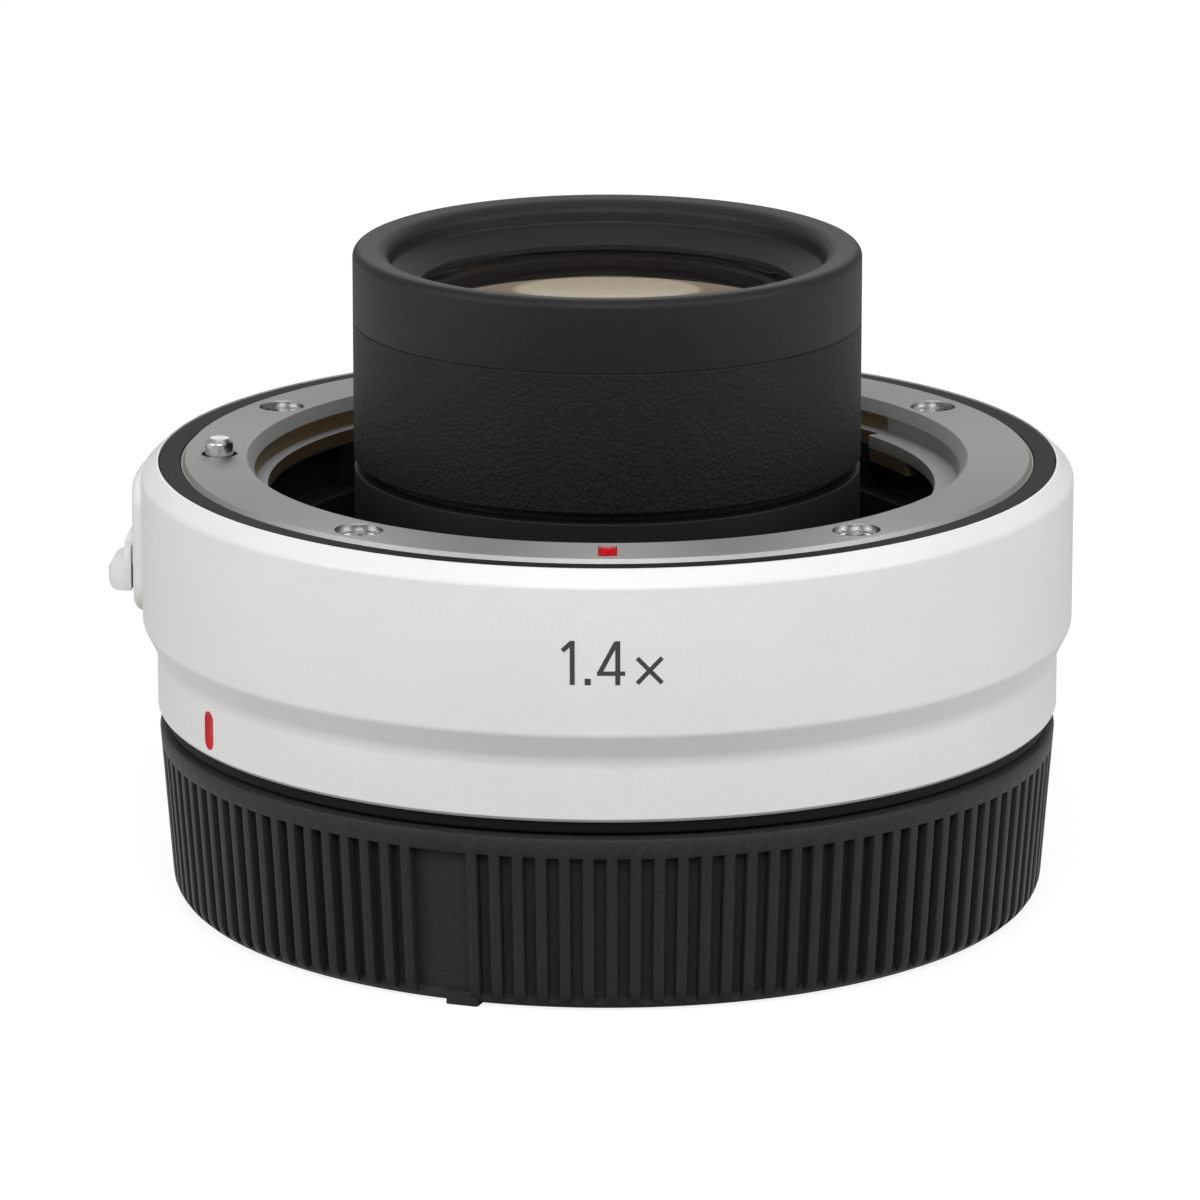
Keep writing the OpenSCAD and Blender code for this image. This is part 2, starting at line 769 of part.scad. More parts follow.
// Block behind the rear mount that carries the rear contacts on two legs
module rear_contact_block() {
    color([0.09, 0.09, 0.1])
        difference() {
            union() {
                ring_arc(rear_block_in_r, rear_block_r, rear_block_z, rear_block_h,
                    contact_az - block_arc / 2, block_arc);
                for (az = rear_leg_az)
                    ring_arc(rear_block_in_r + bite, rear_block_r - bite, rear_block_z + over,
                        tube_flange_z - rear_block_z - over, az + leg_inset, leg_arc - 2 * leg_inset);
            }
            for (i = [0 : contact_count - 1])
                on_circle(contact_angle(i), rear_leg_r, rear_block_z - bite)
                    cylinder(r = pad_r + seat_gap, h = pad_depth + bite);
            for (az = rear_leg_az)
                on_circle(az + leg_arc / 2, rear_leg_r, rear_block_z - over)
                    cylinder(r = small_r + run_fit, h = tube_flange_z);
        }
}

module rear_contact_pads() {
    color("gold")
        for (i = [0 : contact_count - 1])
            on_circle(contact_angle(i), rear_leg_r, rear_block_z - pad_proud)
                cylinder(r = pad_r, h = pad_depth + pad_proud);
}

module rear_contact_screws() {
    color("silver")
        for (az = rear_leg_az)
            on_circle(az + leg_arc / 2, rear_leg_r, rear_block_z - small_head_h)
                mirror([0, 0, 1])
                    screw(small_head_r, small_head_h, small_r, tube_flange_z - rear_block_z + leg_thread);
}

// Steel rear mount: a flange, a short neck and three bayonet lugs
module rear_mount_ring() {
    hub_r = clamp_lip_r - move_gap;
    color("silver")
        difference() {
            union() {
                turned([[neck_in_r, neck_z], [neck_r - 0.3, neck_z], [neck_r, neck_z + 0.3],
                    [neck_r, rear_z], [mount_r - bite, rear_z], [mount_r, rear_z + bite],
                    [mount_r, barrel_z - seat_gap], [hub_r, barrel_z - seat_gap],
                    [hub_r, barrel_z + clamp_lip_t], [neck_in_r, barrel_z + clamp_lip_t]]);
                for (az = lug_az)
                    ring_arc(neck_r - bite, lug_r, lug_z, lug_t, az - lug_arc / 2, lug_arc);
            }
            for (az = rear_screw_az)
                on_circle(az, screw_circle_r, 0) mount_screw_hole(rear_z, frame_z);
            on_circle(pin_az, pin_circle_r, rear_z - over)
                cylinder(r = pin_r + pin_gap, h = over + pin_proud + move_gap);
        }
}

module rear_mount_shim() {
    color("khaki")
        difference() {
            ring(chamber_r, clamp_lip_r - move_gap, frame_z - shim_t, shim_t);
            for (az = rear_screw_az)
                on_circle(az, screw_circle_r, frame_z - over)
                    cylinder(r = screw_r + move_gap, h = 2 * over);
        }
}

module rear_mount_screws() {
    color("silver")
        for (az = rear_screw_az)
            on_circle(az, screw_circle_r, rear_z + screw_sink)
                mirror([0, 0, 1])
                    screw(screw_head_r, screw_head_h, screw_r, rear_shank_l);
}

// Soft ring round the rear flange, shut against the barrel's lower edge
module rear_seal() {
    seal_r = waist_r - 1.1;
    color([0.12, 0.12, 0.12])
        turned([[mount_r + run_fit, rear_z + run_fit], [seal_r - bite, rear_z + run_fit],
            [seal_r, rear_z + run_fit + bite], [seal_r, barrel_z], [mount_r + run_fit, barrel_z]]);
}

// Black metal tube that holds all the glass, with a flange under the chassis floor
module lens_tube() {
    color([0.17, 0.17, 0.18])
        difference() {
            turned([[rear_bore_r, tube_end_z], [rear_tube_r, tube_end_z],
                [rear_tube_r, tube_flange_z], [tube_flange_r, tube_flange_z],
                [tube_flange_r, under_z], [shank_r, under_z], [shank_r, collar_top_z],
                [groove_r, collar_top_z], [groove_r, groove_top_z], [tube_r, groove_top_z],
                [tube_r, seam_z], [spigot_r, seam_z], [spigot_r, spigot_z], [pocket_r, spigot_z],
                [pocket_r, pocket_z], [mid_bore_r, pocket_z], [mid_bore_r, septum_z],
                [septum_r, septum_z], [septum_r, septum_under_z], [rear_bore_r, septum_under_z]]);
            for (az = tube_screw_az)
                on_circle(az, tube_screw_r, tube_flange_z - over)
                    cylinder(r = small_r + run_fit, h = tube_flange_t + 2 * over);
            for (az = rear_leg_az)
                on_circle(az + leg_arc / 2, rear_leg_r, tube_flange_z - over)
                    cylinder(r = small_r + run_fit, h = over + leg_thread + tip_room);
            for (az = block_screw_az)
                on_circle(az, contact_circle_r, tube_flange_z - over)
                    cylinder(r = small_head_r + bite, h = tube_flange_t + 2 * over);
            for (az = baffle_screw_az)
                on_circle(az, baffle_screw_r, tube_end_z - over)
                    cylinder(r = small_r + run_fit, h = over + baffle_thread + tip_room);
        }
}

module tube_screws() {
    color("silver")
        for (az = tube_screw_az)
            on_circle(az, tube_screw_r, tube_flange_z - small_head_h)
                mirror([0, 0, 1])
                    screw(small_head_r, small_head_h, small_r, tube_flange_t + tube_thread);
}

// Front ring of the lens barrel: a funnel that shades the front lens and holds it down
module hood_ring() {
    edge = 0.45;
    funnel = 1.1;
    color([0.22, 0.22, 0.23])
        turned([[spigot_r + run_fit, seam_z], [tube_r, seam_z], [tube_r, hood_z - edge],
            [tube_r - 0.13, hood_z - 0.13], [tube_r - edge, hood_z],
            [hood_lip_r, hood_z - funnel], [hood_lip_r, hood_z - funnel - 0.7],
            [hood_throat_r, glass_z + 0.48], [hood_throat_r, glass_z],
            [front_edge_r, glass_z], [spigot_r + run_fit, spigot_z + seat_gap]]);
}

// Both faces are so flat that the section is turned from short steps of the two arcs
module front_lens() {
    steps = [0 : lens_steps];
    front = [for (i = steps) let (r = front_edge_r * i / lens_steps)
        [r, front_vertex_z - sag(front_lens_rad, r)]];
    back = [for (i = steps) let (r = front_edge_r * (1 - i / lens_steps))
        [r, front_back_z + sag(front_back_rad, r)]];
    color([0.75, 0.7, 0.6]) turned(concat(front, back));
}

module front_spacer() {
    color("black")
        ring(spacer_r, front_edge_r, pocket_z,
            front_back_z + sag(front_back_rad, spacer_r) - seat_gap - pocket_z);
}

// The three elements share two cemented joints, each with its own curve
module triplet_front() {
    color([0.8, 0.85, 0.85])
        intersection() {
            translate([0, 0, triplet_planes[3]])
                cylinder(r = triplet_edge_r, h = triplet_z - triplet_planes[3] + over);
            lens_ball(triplet_planes[0], triplet_rads[0]);
            lens_ball(triplet_planes[1] + cement, -triplet_rads[1]);
        }
}

module triplet_middle() {
    top = triplet_planes[1] + sag(triplet_rads[1], triplet_edge_r);
    bottom = triplet_planes[2] - sag(triplet_rads[2], triplet_edge_r);
    color([0.8, 0.85, 0.9])
        difference() {
            translate([0, 0, bottom]) cylinder(r = triplet_edge_r, h = top - bottom);
            lens_ball(triplet_planes[1], -triplet_rads[1]);
            lens_ball(triplet_planes[2], triplet_rads[2]);
        }
}

module triplet_rear() {
    color([0.85, 0.85, 0.85])
        intersection() {
            translate([0, 0, triplet_planes[3]])
                cylinder(r = triplet_edge_r, h = triplet_t[2] + over);
            lens_ball(triplet_planes[2] - cement, triplet_rads[2]);
            lens_ball(triplet_planes[3], -triplet_rads[3]);
        }
}

module triplet_retainer() {
    foot_z = triplet_z - sag(triplet_rad, triplet_clear_r) + seat_gap;
    color("black") ring(triplet_clear_r, triplet_edge_r, foot_z, pocket_z - retainer_drop - foot_z);
}

module doublet_front() {
    bottom = doublet_joint_z - sag(doublet_rads[1], rear_edge_r);
    color([0.85, 0.9, 0.9])
        difference() {
            translate([0, 0, bottom])
                cylinder(r = rear_edge_r, h = septum_under_z - seat_gap - bottom);
            lens_ball(doublet_top_z, -doublet_rads[0]);
            lens_ball(doublet_joint_z, doublet_rads[1]);
        }
}

module doublet_rear() {
    color([0.85, 0.88, 0.9])
        intersection() {
            translate([0, 0, doublet_z]) cylinder(r = rear_edge_r, h = doublet_rear_t + over);
            lens_ball(doublet_joint_z - cement, doublet_rads[1]);
            lens_ball(doublet_z, -doublet_rads[2]);
        }
}

module rear_spacer() {
    color("black") ring(rear_clear_r, rear_edge_r, rear_spacer_z, rear_spacer_h);
}

module rear_lens() {
    color([0.85, 0.85, 0.8])
        intersection() {
            translate([0, 0, rear_vertex_z]) cylinder(r = rear_edge_r, h = rear_lens_t + over);
            lens_ball(rear_front_z, rear_lens_rad);
            lens_ball(rear_vertex_z, -rear_back_rad);
        }
}

module rear_retainer() {
    color("black") ring(rear_clear_r, rear_edge_r, tube_end_z + bite, retainer_h);
}

// Flare stop behind the rear lens, with the picture's oblong opening
module rear_baffle() {
    gate_w = rear_clear_r * 1.76;
    gate_h = rear_clear_r * 1.22;
    color([0.06, 0.06, 0.06])
        difference() {
            translate([0, 0, tube_end_z - baffle_t]) cylinder(r = rear_tube_r, h = baffle_t);
            translate([0, 0, tube_end_z - baffle_t / 2])
                linear_extrude(baffle_t * 2, center = true)
                    rounded_bar(gate_w, gate_h, 1.5);
            for (az = baffle_screw_az)
                on_circle(az, baffle_screw_r, tube_end_z - baffle_t - over)
                    cylinder(r = small_r + run_fit, h = baffle_t + 2 * over);
        }
}

module baffle_screws() {
    color("silver")
        for (az = baffle_screw_az)
            on_circle(az, baffle_screw_r, tube_end_z - baffle_t - small_head_h)
                mirror([0, 0, 1])
                    screw(small_head_r, small_head_h, small_r, baffle_t + baffle_thread);
}

// White finger tab with a scooped top, joined through the barrel's slot to the carriage
module release_lever() {
    tab_in_r = boss_r + lever_gap;
    color("white") {
        difference() {
            intersection() {
                rotate([0, 0, lever_az])
                    translate([0, lever_w / 2, 0])
                        rotate([90, 0, 0])
                            linear_extrude(lever_w)
                                lever_profile(tab_in_r);
                rotate([0, 0, lever_az]) lever_plan();
            }
            translate([0, 0, tab_foot_z - over]) cylinder(r = tab_in_r, h = tab_root_h + 2 * over);
        }
        difference() {
            rotate([0, 0, lever_az])
                translate([carriage_r - over, -link_w / 2, link_z])
                    cube([boss_r + link_lap - carriage_r + over, link_w, link_h]);
            translate([0, 0, link_z - over])
                cylinder(r = carriage_r + seat_gap, h = link_h + 2 * over);
            lever_screw_holes();
        }
    }
}

// Radial section of the tab: flat foot, round nose and a concave top
module lever_profile(in_r) {
    nose = 0.8;
    tip = [0.5, 1.8];
    difference() {
        union() {
            translate([in_r - over, tab_foot_z])
                square([lever_r - nose - in_r + over, tab_root_h]);
            translate([lever_r - 2 * nose, tab_foot_z + nose])
                square([2 * nose, tab_root_h - nose]);
            translate([lever_r - nose, tab_foot_z + nose]) circle(r = nose);
        }
        translate([lever_r + scoop_out, tab_foot_z + scoop_up]) circle(r = scoop_r);
        translate([lever_r - tip[0], tab_foot_z + tip[1]]) square([tip[0] + over, tab_root_h]);
    }
}

// Seen from above, the tab has round corners at its tip
module lever_plan() {
    corner = 1.6;
    plan_l = 10;
    translate([0, 0, tab_foot_z - over])
        linear_extrude(tab_root_h + 2 * over)
            translate([lever_r - plan_l / 2, 0])
                rounded_bar(plan_l, lever_w, corner);
}

module lever_screw_holes() {
    for (side = [-1, 1])
        outwards(lever_az, carriage_in_r - over, link_z + link_h / 2, side * lever_screw_y)
            cylinder(r = small_r + run_fit, h = over + lever_shank_l + tip_room);
}

module lever_screws() {
    color("silver")
        for (side = [-1, 1])
            outwards(lever_az, lever_screw_r, link_z + link_h / 2, side * lever_screw_y)
                mirror([0, 0, 1])
                    screw(small_head_r, small_head_h, small_r, lever_shank_l);
}

// Plate behind the barrel wall, with an arm that draws the lock pin down
module lever_carriage() {
    plate_arc = 15;
    plate_skew = 4.5;
    arm_w = 4.4;
    color("slategray")
        difference() {
            union() {
                ring_arc(carriage_in_r, carriage_r, carriage_z, arm_top_z - carriage_z,
                    pin_az + plate_skew - plate_arc, plate_arc);
                rotate([0, 0, pin_az])
                    translate([arm_in_r, -arm_w / 2, arm_z])
                        cube([carriage_in_r + carriage_t / 2 - arm_in_r, arm_w, arm_t]);
            }
            on_circle(pin_az, pin_circle_r, arm_z - over)
                cylinder(r = tail_r + seat_gap, h = arm_t + 2 * over);
            lever_screw_holes();
        }
}

// Steel pin with a chamfered head, a stop collar and a thin tail through the carriage arm
module lock_pin() {
    chamfer = 0.35;
    tail_l = 2;
    pin_top_z = front_z + pin_proud;
    color("lightgray")
        on_circle(pin_az, pin_circle_r, 0)
            turned([[0, arm_z - tail_l], [tail_r, arm_z - tail_l], [tail_r, arm_top_z],
                [stop_r, arm_top_z], [stop_r, arm_top_z + stop_h], [pin_r, arm_top_z + stop_h],
                [pin_r, pin_top_z - chamfer], [pin_r - chamfer, pin_top_z], [0, pin_top_z]]);
}

// Coil of round wire between the perch on the chassis and the carriage arm
function coil_point(step, side) =
    let (turn = 360 * step / coil_rings, face = 360 * side / coil_sides,
         r = coil_r + wire_r * cos(face))
    [r * cos(turn), r * sin(turn), coil_h * step / coil_steps + wire_r * sin(face)];
module lock_spring() {
    points = [for (step = [0 : coil_steps], side = [0 : coil_sides - 1]) coil_point(step, side)];
    sides = [for (step = [0 : coil_steps - 1], side = [0 : coil_sides - 1])
        let (a = step * coil_sides + side, b = step * coil_sides + (side + 1) % coil_sides)
        each [[a, a + coil_sides, b], [b, a + coil_sides, b + coil_sides]]];
    first = [for (side = [1 : coil_sides - 2]) [0, side, side + 1]];
    last_base = coil_steps * coil_sides;
    last = [for (side = [1 : coil_sides - 2]) [last_base, last_base + side + 1, last_base + side]];
    echo(least_gap_between_turns = coil_h / coil_turns - 2 * wire_r);
    color("silver")
        on_circle(pin_az, pin_circle_r, perch_z + wire_r + coil_clear)
            polyhedron(points, concat(sides, first, last));
}

// Moulded cap: a grooved skirt, a floor and an inner collar with three bayonet tabs
module rear_cap() {
    color([0.16, 0.16, 0.17]) {
        difference() {
            union() {
                cap_shell();
                on_circle(nub_az, 0, 0)
                    translate([cap_base_r - nub_l - 0.5, -nub_w / 2, 0])
                        cube([nub_l, nub_w, nub_h]);
            }
            for (i = [2 : groove_count - 2])
                rotate([0, 0, pad_az + i * groove_pitch])
                    groove_cut(groove_w);
            rotate([0, 0, pad_az])
                groove_cut(groove_w + (pad_grooves - 1) * groove_pitch * PI / 180 * cap_r);
        }
        for (tab = front_tabs)
            ring_arc(cap_tab_r, collar_in_r + bite, cap_tab_z, cap_tab_t, tab[0], tab[1]);
    }
}

module cap_shell() {
    rotate_extrude()
        difference() {
            union() {
                polygon([[0, 0], [cap_base_r - cap_fillet, 0], [cap_base_r - cap_fillet, cap_fillet],
                    [cap_base_r, cap_fillet], [cap_r, cap_h - cap_edge], [cap_r - cap_edge, cap_h],
                    [0, cap_h]]);
                translate([cap_base_r - cap_fillet, cap_fillet]) circle(r = cap_fillet);
            }
            translate([0, cap_floor]) square([collar_in_r, cap_h]);
            translate([collar_in_r + cap_collar_wall, cap_floor])
                square([skirt_r - collar_in_r - cap_collar_wall, cap_h]);
            translate([collar_in_r - over, cap_tab_z + cap_tab_t])
                square([cap_collar_wall + 2 * over, cap_h]);
        }
}

// Straight cutter that leans with the wall and runs out through the base fillet
module groove_cut(w) {
    translate([cap_base_r - groove_d, 0, cap_fillet])
        rotate([0, cap_lean, 0])
            translate([0, -w / 2, -cap_fillet - over])
                cube([groove_d + 2 * over, w, cap_h - groove_band + over]);
}

outer_barrel();
front_trim_ring();
front_mount_ring();
front_mount_screws();
front_leaf_spring();
front_index_mark();
rear_index_mark();
inner_frame();
front_contact_block();
front_contact_sleeves();
contact_pins();
contact_block_screws();
circuit_board();
board_chips();
board_screws();
front_flex_cable();
rear_flex_cable();
rear_contact_block();
rear_contact_pads();
rear_contact_screws();
rear_mount_ring();
rear_mount_shim();
rear_mount_screws();
rear_seal();
lens_tube();
tube_screws();
hood_ring();
front_lens();
front_spacer();
triplet_front();
triplet_middle();
triplet_rear();
triplet_retainer();
doublet_front();
doublet_rear();
rear_spacer();
rear_lens();
rear_retainer();
rear_baffle();
baffle_screws();
release_lever();
lever_carriage();
lever_screws();
lock_pin();
lock_spring();
rear_cap();
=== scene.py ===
# Camera teleconverter standing on its rear cap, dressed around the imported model.
# Sizes are in millimetres and azimuths in degrees, counter-clockwise seen from the front mount.
import math

import bmesh
import bpy
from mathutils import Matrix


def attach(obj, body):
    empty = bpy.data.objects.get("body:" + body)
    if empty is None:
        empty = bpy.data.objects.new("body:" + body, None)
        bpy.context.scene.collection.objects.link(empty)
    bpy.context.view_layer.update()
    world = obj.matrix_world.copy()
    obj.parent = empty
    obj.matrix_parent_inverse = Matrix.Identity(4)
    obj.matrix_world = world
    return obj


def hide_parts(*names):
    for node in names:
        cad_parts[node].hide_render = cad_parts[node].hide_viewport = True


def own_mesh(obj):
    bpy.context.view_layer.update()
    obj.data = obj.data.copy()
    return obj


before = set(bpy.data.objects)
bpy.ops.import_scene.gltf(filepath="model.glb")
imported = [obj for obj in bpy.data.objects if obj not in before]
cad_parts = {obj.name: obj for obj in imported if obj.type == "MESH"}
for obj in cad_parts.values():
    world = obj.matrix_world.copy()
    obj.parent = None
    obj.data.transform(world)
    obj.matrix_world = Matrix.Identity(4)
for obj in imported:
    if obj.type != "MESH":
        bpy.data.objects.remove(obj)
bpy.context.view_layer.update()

# The chassis that everything is screwed to: a turned and milled aluminium body, black anodised.
# Its well shows between the bayonet tabs and the lens tube, and one bore guides the lock pin.
MM = 0.001
WELD = 1e-6


def linear(code):
    """Linear colour of an sRGB hex value."""
    shares = [int(code[i:i + 2], 16) / 255 for i in (0, 2, 4)]
    return [s / 12.92 if s <= 0.04045 else ((s + 0.055) / 1.055) ** 2.4 for s in shares] + [1]


def add_node(tree, kind, inputs=None, feeds=None, **settings):
    """A node with its settings; an input takes a value or an output, and an output may feed other inputs."""
    node = tree.nodes.new(kind)
    for name, value in settings.items():
        setattr(node, name, value)
    for name, value in (inputs or {}).items():
        if isinstance(value, bpy.types.NodeSocket):
            tree.links.new(value, node.inputs[name])
        else:
            node.inputs[name].default_value = value
    for name, socket in (feeds or {}).items():
        tree.links.new(node.outputs[name], socket)
    return node.outputs


def finish(name, colour, roughness, **even):
    """A material named for a real finish: its node tree, its shader's inputs and the place patterns read."""
    material = bpy.data.materials.new(name)
    material.use_nodes = True
    tree = material.node_tree
    shader = tree.nodes["Principled BSDF"].inputs
    shader["Base Color"].default_value = linear(colour)
    shader["Roughness"].default_value = roughness
    for socket, value in even.items():
        shader[socket.replace("_", " ")].default_value = value
    return material, tree, shader, add_node(tree, "ShaderNodeTexCoord")["Object"]


def pick(piece, wanted, kind="VERT"):
    """Selects the points, edges or faces of a piece that pass a test, in edit mode."""
    bpy.ops.object.mode_set(mode="EDIT")
    bpy.ops.mesh.select_mode(type=kind)
    bpy.ops.mesh.select_all(action="DESELECT")
    mesh = bmesh.from_edit_mesh(piece.data)
    for item in {"VERT": mesh.verts, "EDGE": mesh.edges, "FACE": mesh.faces}[kind]:
        if wanted(item):
            item.select_set(True)
    mesh.select_flush_mode()
    bmesh.update_edit_mesh(piece.data)


def wire(name, section, closed):
    """Draws a section of radius, height and softening point by point, in edit mode."""
    bpy.ops.object.select_all(action="DESELECT")
    bpy.ops.mesh.primitive_plane_add(size=MM)
    piece = bpy.context.object
    piece.name = piece.data.name = name
    bpy.ops.object.mode_set(mode="EDIT")
    bpy.ops.mesh.select_mode(type="VERT")
    bpy.ops.mesh.select_all(action="SELECT")
    bpy.ops.mesh.merge(type="CENTER")
    spots = [(point[0] * MM, point[1] * MM) for point in section]
    bpy.ops.transform.translate(value=(spots[0][0], 0, spots[0][1]))
    for (r0, z0), (r1, z1) in zip(spots, spots[1:] + spots[:1] if closed else spots[1:]):
        bpy.ops.mesh.extrude_vertices_move(TRANSFORM_OT_translate={"value": (r1 - r0, 0, z1 - z0)})
    bpy.ops.mesh.select_all(action="SELECT")
    bpy.ops.mesh.remove_doubles(threshold=WELD)
    for (r, z), point in zip(spots, section):
        if len(point) > 2:
            pick(piece, lambda vert: math.hypot(vert.co.x - r, vert.co.z - z) < 3e-7)
            bpy.ops.mesh.bevel(offset=point[2] * MM, segments=6, affect="VERTICES")
    bpy.ops.mesh.select_all(action="SELECT")
    return piece


def settle():
    """Welds the piece in edit mode and turns its faces outwards."""
    bpy.ops.mesh.select_all(action="SELECT")
    bpy.ops.mesh.remove_doubles(threshold=WELD)
    bpy.ops.mesh.normals_make_consistent(inside=False)
    bpy.ops.object.mode_set(mode="OBJECT")


def put(piece, azimuth=0, radius=0, side=0, height=0):
    """Stands a piece on the circle round the optical axis and keeps the place in its mesh."""
    turn = math.radians(azimuth)
    piece.location = ((radius * math.cos(turn) - side * math.sin(turn)) * MM,
                      (radius * math.sin(turn) + side * math.cos(turn)) * MM, height * MM)
    piece.rotation_euler.z = turn
    bpy.ops.object.select_all(action="DESELECT")
    piece.select_set(True)
    bpy.context.view_layer.objects.active = piece
    bpy.ops.object.transform_apply(location=True, rotation=True, scale=True)
    return piece


def turned(name, section, steps=240, start=0, arc=360):
    """Spins a section round the optical axis, as on a lathe, or through part of a turn."""
    piece = wire(name, section, closed=section[0][0] > 0 or section[-1][0] > 0)
    bpy.ops.mesh.spin(steps=steps, angle=-math.radians(arc), center=(0, 0, 0), axis=(0, 0, 1))
    if arc < 360:
        bpy.ops.mesh.select_all(action="SELECT")
        bpy.ops.mesh.fill_holes(sides=0)
    settle()
    return put(piece, start)


def carve(piece, *cutters, operation="DIFFERENCE"):
    """Cuts each tool from a piece, or joins or crosses it, and throws the tool away."""
    for cutter in cutters:
        bpy.ops.object.select_all(action="DESELECT")
        bpy.context.view_layer.objects.active = piece
        cut = piece.modifiers.new("cut", "BOOLEAN")
        cut.operation = operation
        cut.solver = "EXACT"
        cut.object = cutter
        bpy.ops.object.modifier_apply(modifier=cut.name)
        bpy.data.objects.remove(cutter)
    return piece


def fit(piece, material, body, slot, *nodes, crease=32):
    """Shades a finished piece, paints it and sets it on its body in place of its CAD nodes."""
    bpy.ops.object.select_all(action="DESELECT")
    piece.select_set(True)
    bpy.context.view_layer.objects.active = piece
    bpy.ops.object.shade_smooth_by_angle(angle=math.radians(crease))
    piece.data.materials.clear()
    piece.data.materials.append(material)
    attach(piece, body)
    if nodes:
        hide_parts(*nodes)


PIN_CIRCLE = 29.6
PIN_AZ = 180
PIN_BORE = 1.12
PERCH = 2.2
chassis = turned("chassis", [
    (17.8, 22.5), (25.5, 22.5), (25.5, 15.8), (33, 15.8), (33, 17.8), (27.5, 17.8), (27.5, 26), (28, 27),
    (28, 30.2), (33, 30.2), (33, 32.2), (28.25, 32.2), (28.25, 30.87), (27, 30.87, 0.15), (27, 27.5, 0.2),
    (25, 27.5, 0.2), (25, 24, 0.2), (19.3, 24, 0.2), (19.3, 33.5, 0.15), (17.8, 33.5)])
perch = put(turned("perch", [(0, 17.6), (PERCH, 17.6), (PERCH, 21), (0, 21)], steps=48), PIN_AZ, PIN_CIRCLE)
pin_bore = put(turned("pin_bore", [(0, 29), (PIN_BORE, 29), (PIN_BORE, 33), (0, 33)], steps=48),
               PIN_AZ, PIN_CIRCLE)
carve(chassis, perch, operation="UNION")
carve(chassis, pin_bore)
# Anodised aluminium after bead blasting: a dead black with a very fine sparkle of pits.
anodised, tree, shader, place = finish("black_anodised_aluminium", "0e0e0f", 0.55, Specular_IOR_Level=0.2)
pits = add_node(tree, "ShaderNodeTexNoise", {"Vector": place, "Scale": 1 / (0.12 * MM), "Detail": 3})["Fac"]
add_node(tree, "ShaderNodeMix", {0: pits, 6: linear("080809"), 7: linear("151516")}, {2: shader["Base Color"]},
         data_type="RGBA")
add_node(tree, "ShaderNodeMapRange", {"Value": pits, "To Min": 0.4, "To Max": 0.7}, {"Result": shader["Roughness"]})
add_node(tree, "ShaderNodeBump", {"Height": pits, "Distance": 0.008 * MM}, {"Normal": shader["Normal"]})
fit(chassis, anodised, "converter", "frame_black", "inner_frame")

# The lens tube: a turned aluminium barrel with a coarse black wrinkle paint on its outside.
# Its flange is screwed under the chassis floor, and its bore is stepped for the lens groups.
lens_tube = turned("wrinkle_tube", [
    (15, 10.5), (17, 10.5), (17, 20.7), (23, 20.7), (23, 22.5), (17.75, 22.5), (17.75, 33.5),
    (18.05, 33.5), (18.05, 34.25), (19.33, 34.25, 0.12), (19.33, 44.89, 0.14), (18.33, 44.89),
    (18.33, 46.79), (15.35, 46.79), (15.35, 44), (14, 44), (14, 33.9), (12.5, 33.9), (12.5, 28.6),
    (15, 28.6)])
# Wrinkle paint: soft worms about 0.3 mm wide, with a painted highlight on their crests, where the colour is lighter as
# the bump rises.
wrinkle, tree, shader, place = finish("black_wrinkle_paint", "101011", 0.5, Specular_IOR_Level=0.2)
worms_and_crest_highlight = add_node(tree, "ShaderNodeTexNoise", {"Vector": place, "Scale": 1 / (0.3 * MM), "Detail": 2.5})["Fac"]
# Painted highlight: the worms' crests are coloured lighter than their hollows.
add_node(tree, "ShaderNodeMix", {0: worms_and_crest_highlight, 6: linear("040405"), 7: linear("1c1c1d")}, {2: shader["Base Color"]},
         data_type="RGBA")
add_node(tree, "ShaderNodeMapRange", {"Value": worms_and_crest_highlight, "To Min": 0.4, "To Max": 0.7},
         {"Result": shader["Roughness"]})
add_node(tree, "ShaderNodeBump", {"Height": worms_and_crest_highlight, "Distance": 0.09 * MM}, {"Normal": shader["Normal"]})
fit(lens_tube, wrinkle, "converter", "tube_black", "lens_tube")

# The lens groups: ground and coated glass in seven elements, held by turned black rings.
# Only the front lens and the domed lens below it are seen, so the rest keep their plain forms.
def cap_of(curve, pole, edge, steps=24, bulge=-1):
    """Points of a lens face from its pole out to its edge; bulge -1 falls off, 1 climbs."""
    rings = [edge * i / steps for i in range(steps + 1)]
    return [(r, pole + bulge * (curve - math.sqrt(curve * curve - r * r))) for r in rings]


def paint(material, *nodes):
    """Paints CAD nodes that keep their plain forms."""
    for node in nodes:
        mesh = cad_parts[node].data
        mesh.materials.clear()
        mesh.materials.append(material)


FRONT_EDGE = 15.3
front_face = cap_of(200, 47.38, FRONT_EDGE)
back_face = cap_of(300, 44.925, FRONT_EDGE, bulge=1)
front_glass = turned("front_glass", front_face + back_face[::-1], steps=160)
# Crown glass under a quarter-wave coating: clear, and a beige sheen at a flat angle.
crown, tree, shader, place = finish("coated_crown_glass", "ffffff", 0.02, IOR=1.15, Transmission_Weight=1.0,
                                    Thin_Film_Thickness=165, Thin_Film_IOR=1.07)
haze = add_node(tree, "ShaderNodeTexNoise", {"Vector": place, "Scale": 1 / (3 * MM)})["Fac"]
add_node(tree, "ShaderNodeMapRange", {"Value": haze, "To Min": 0.005, "To Max": 0.03},
         {"Result": shader["Roughness"]})
fit(front_glass, crown, "converter", "coated_glass", "front_lens", crease=25)

DOME_EDGE = 13.95
dome_face = cap_of(45, 43.3, DOME_EDGE)
dome_back = cap_of(50, 38.62, DOME_EDGE, bulge=1)
domed_glass = turned("domed_glass", dome_face + dome_back[::-1], steps=160)
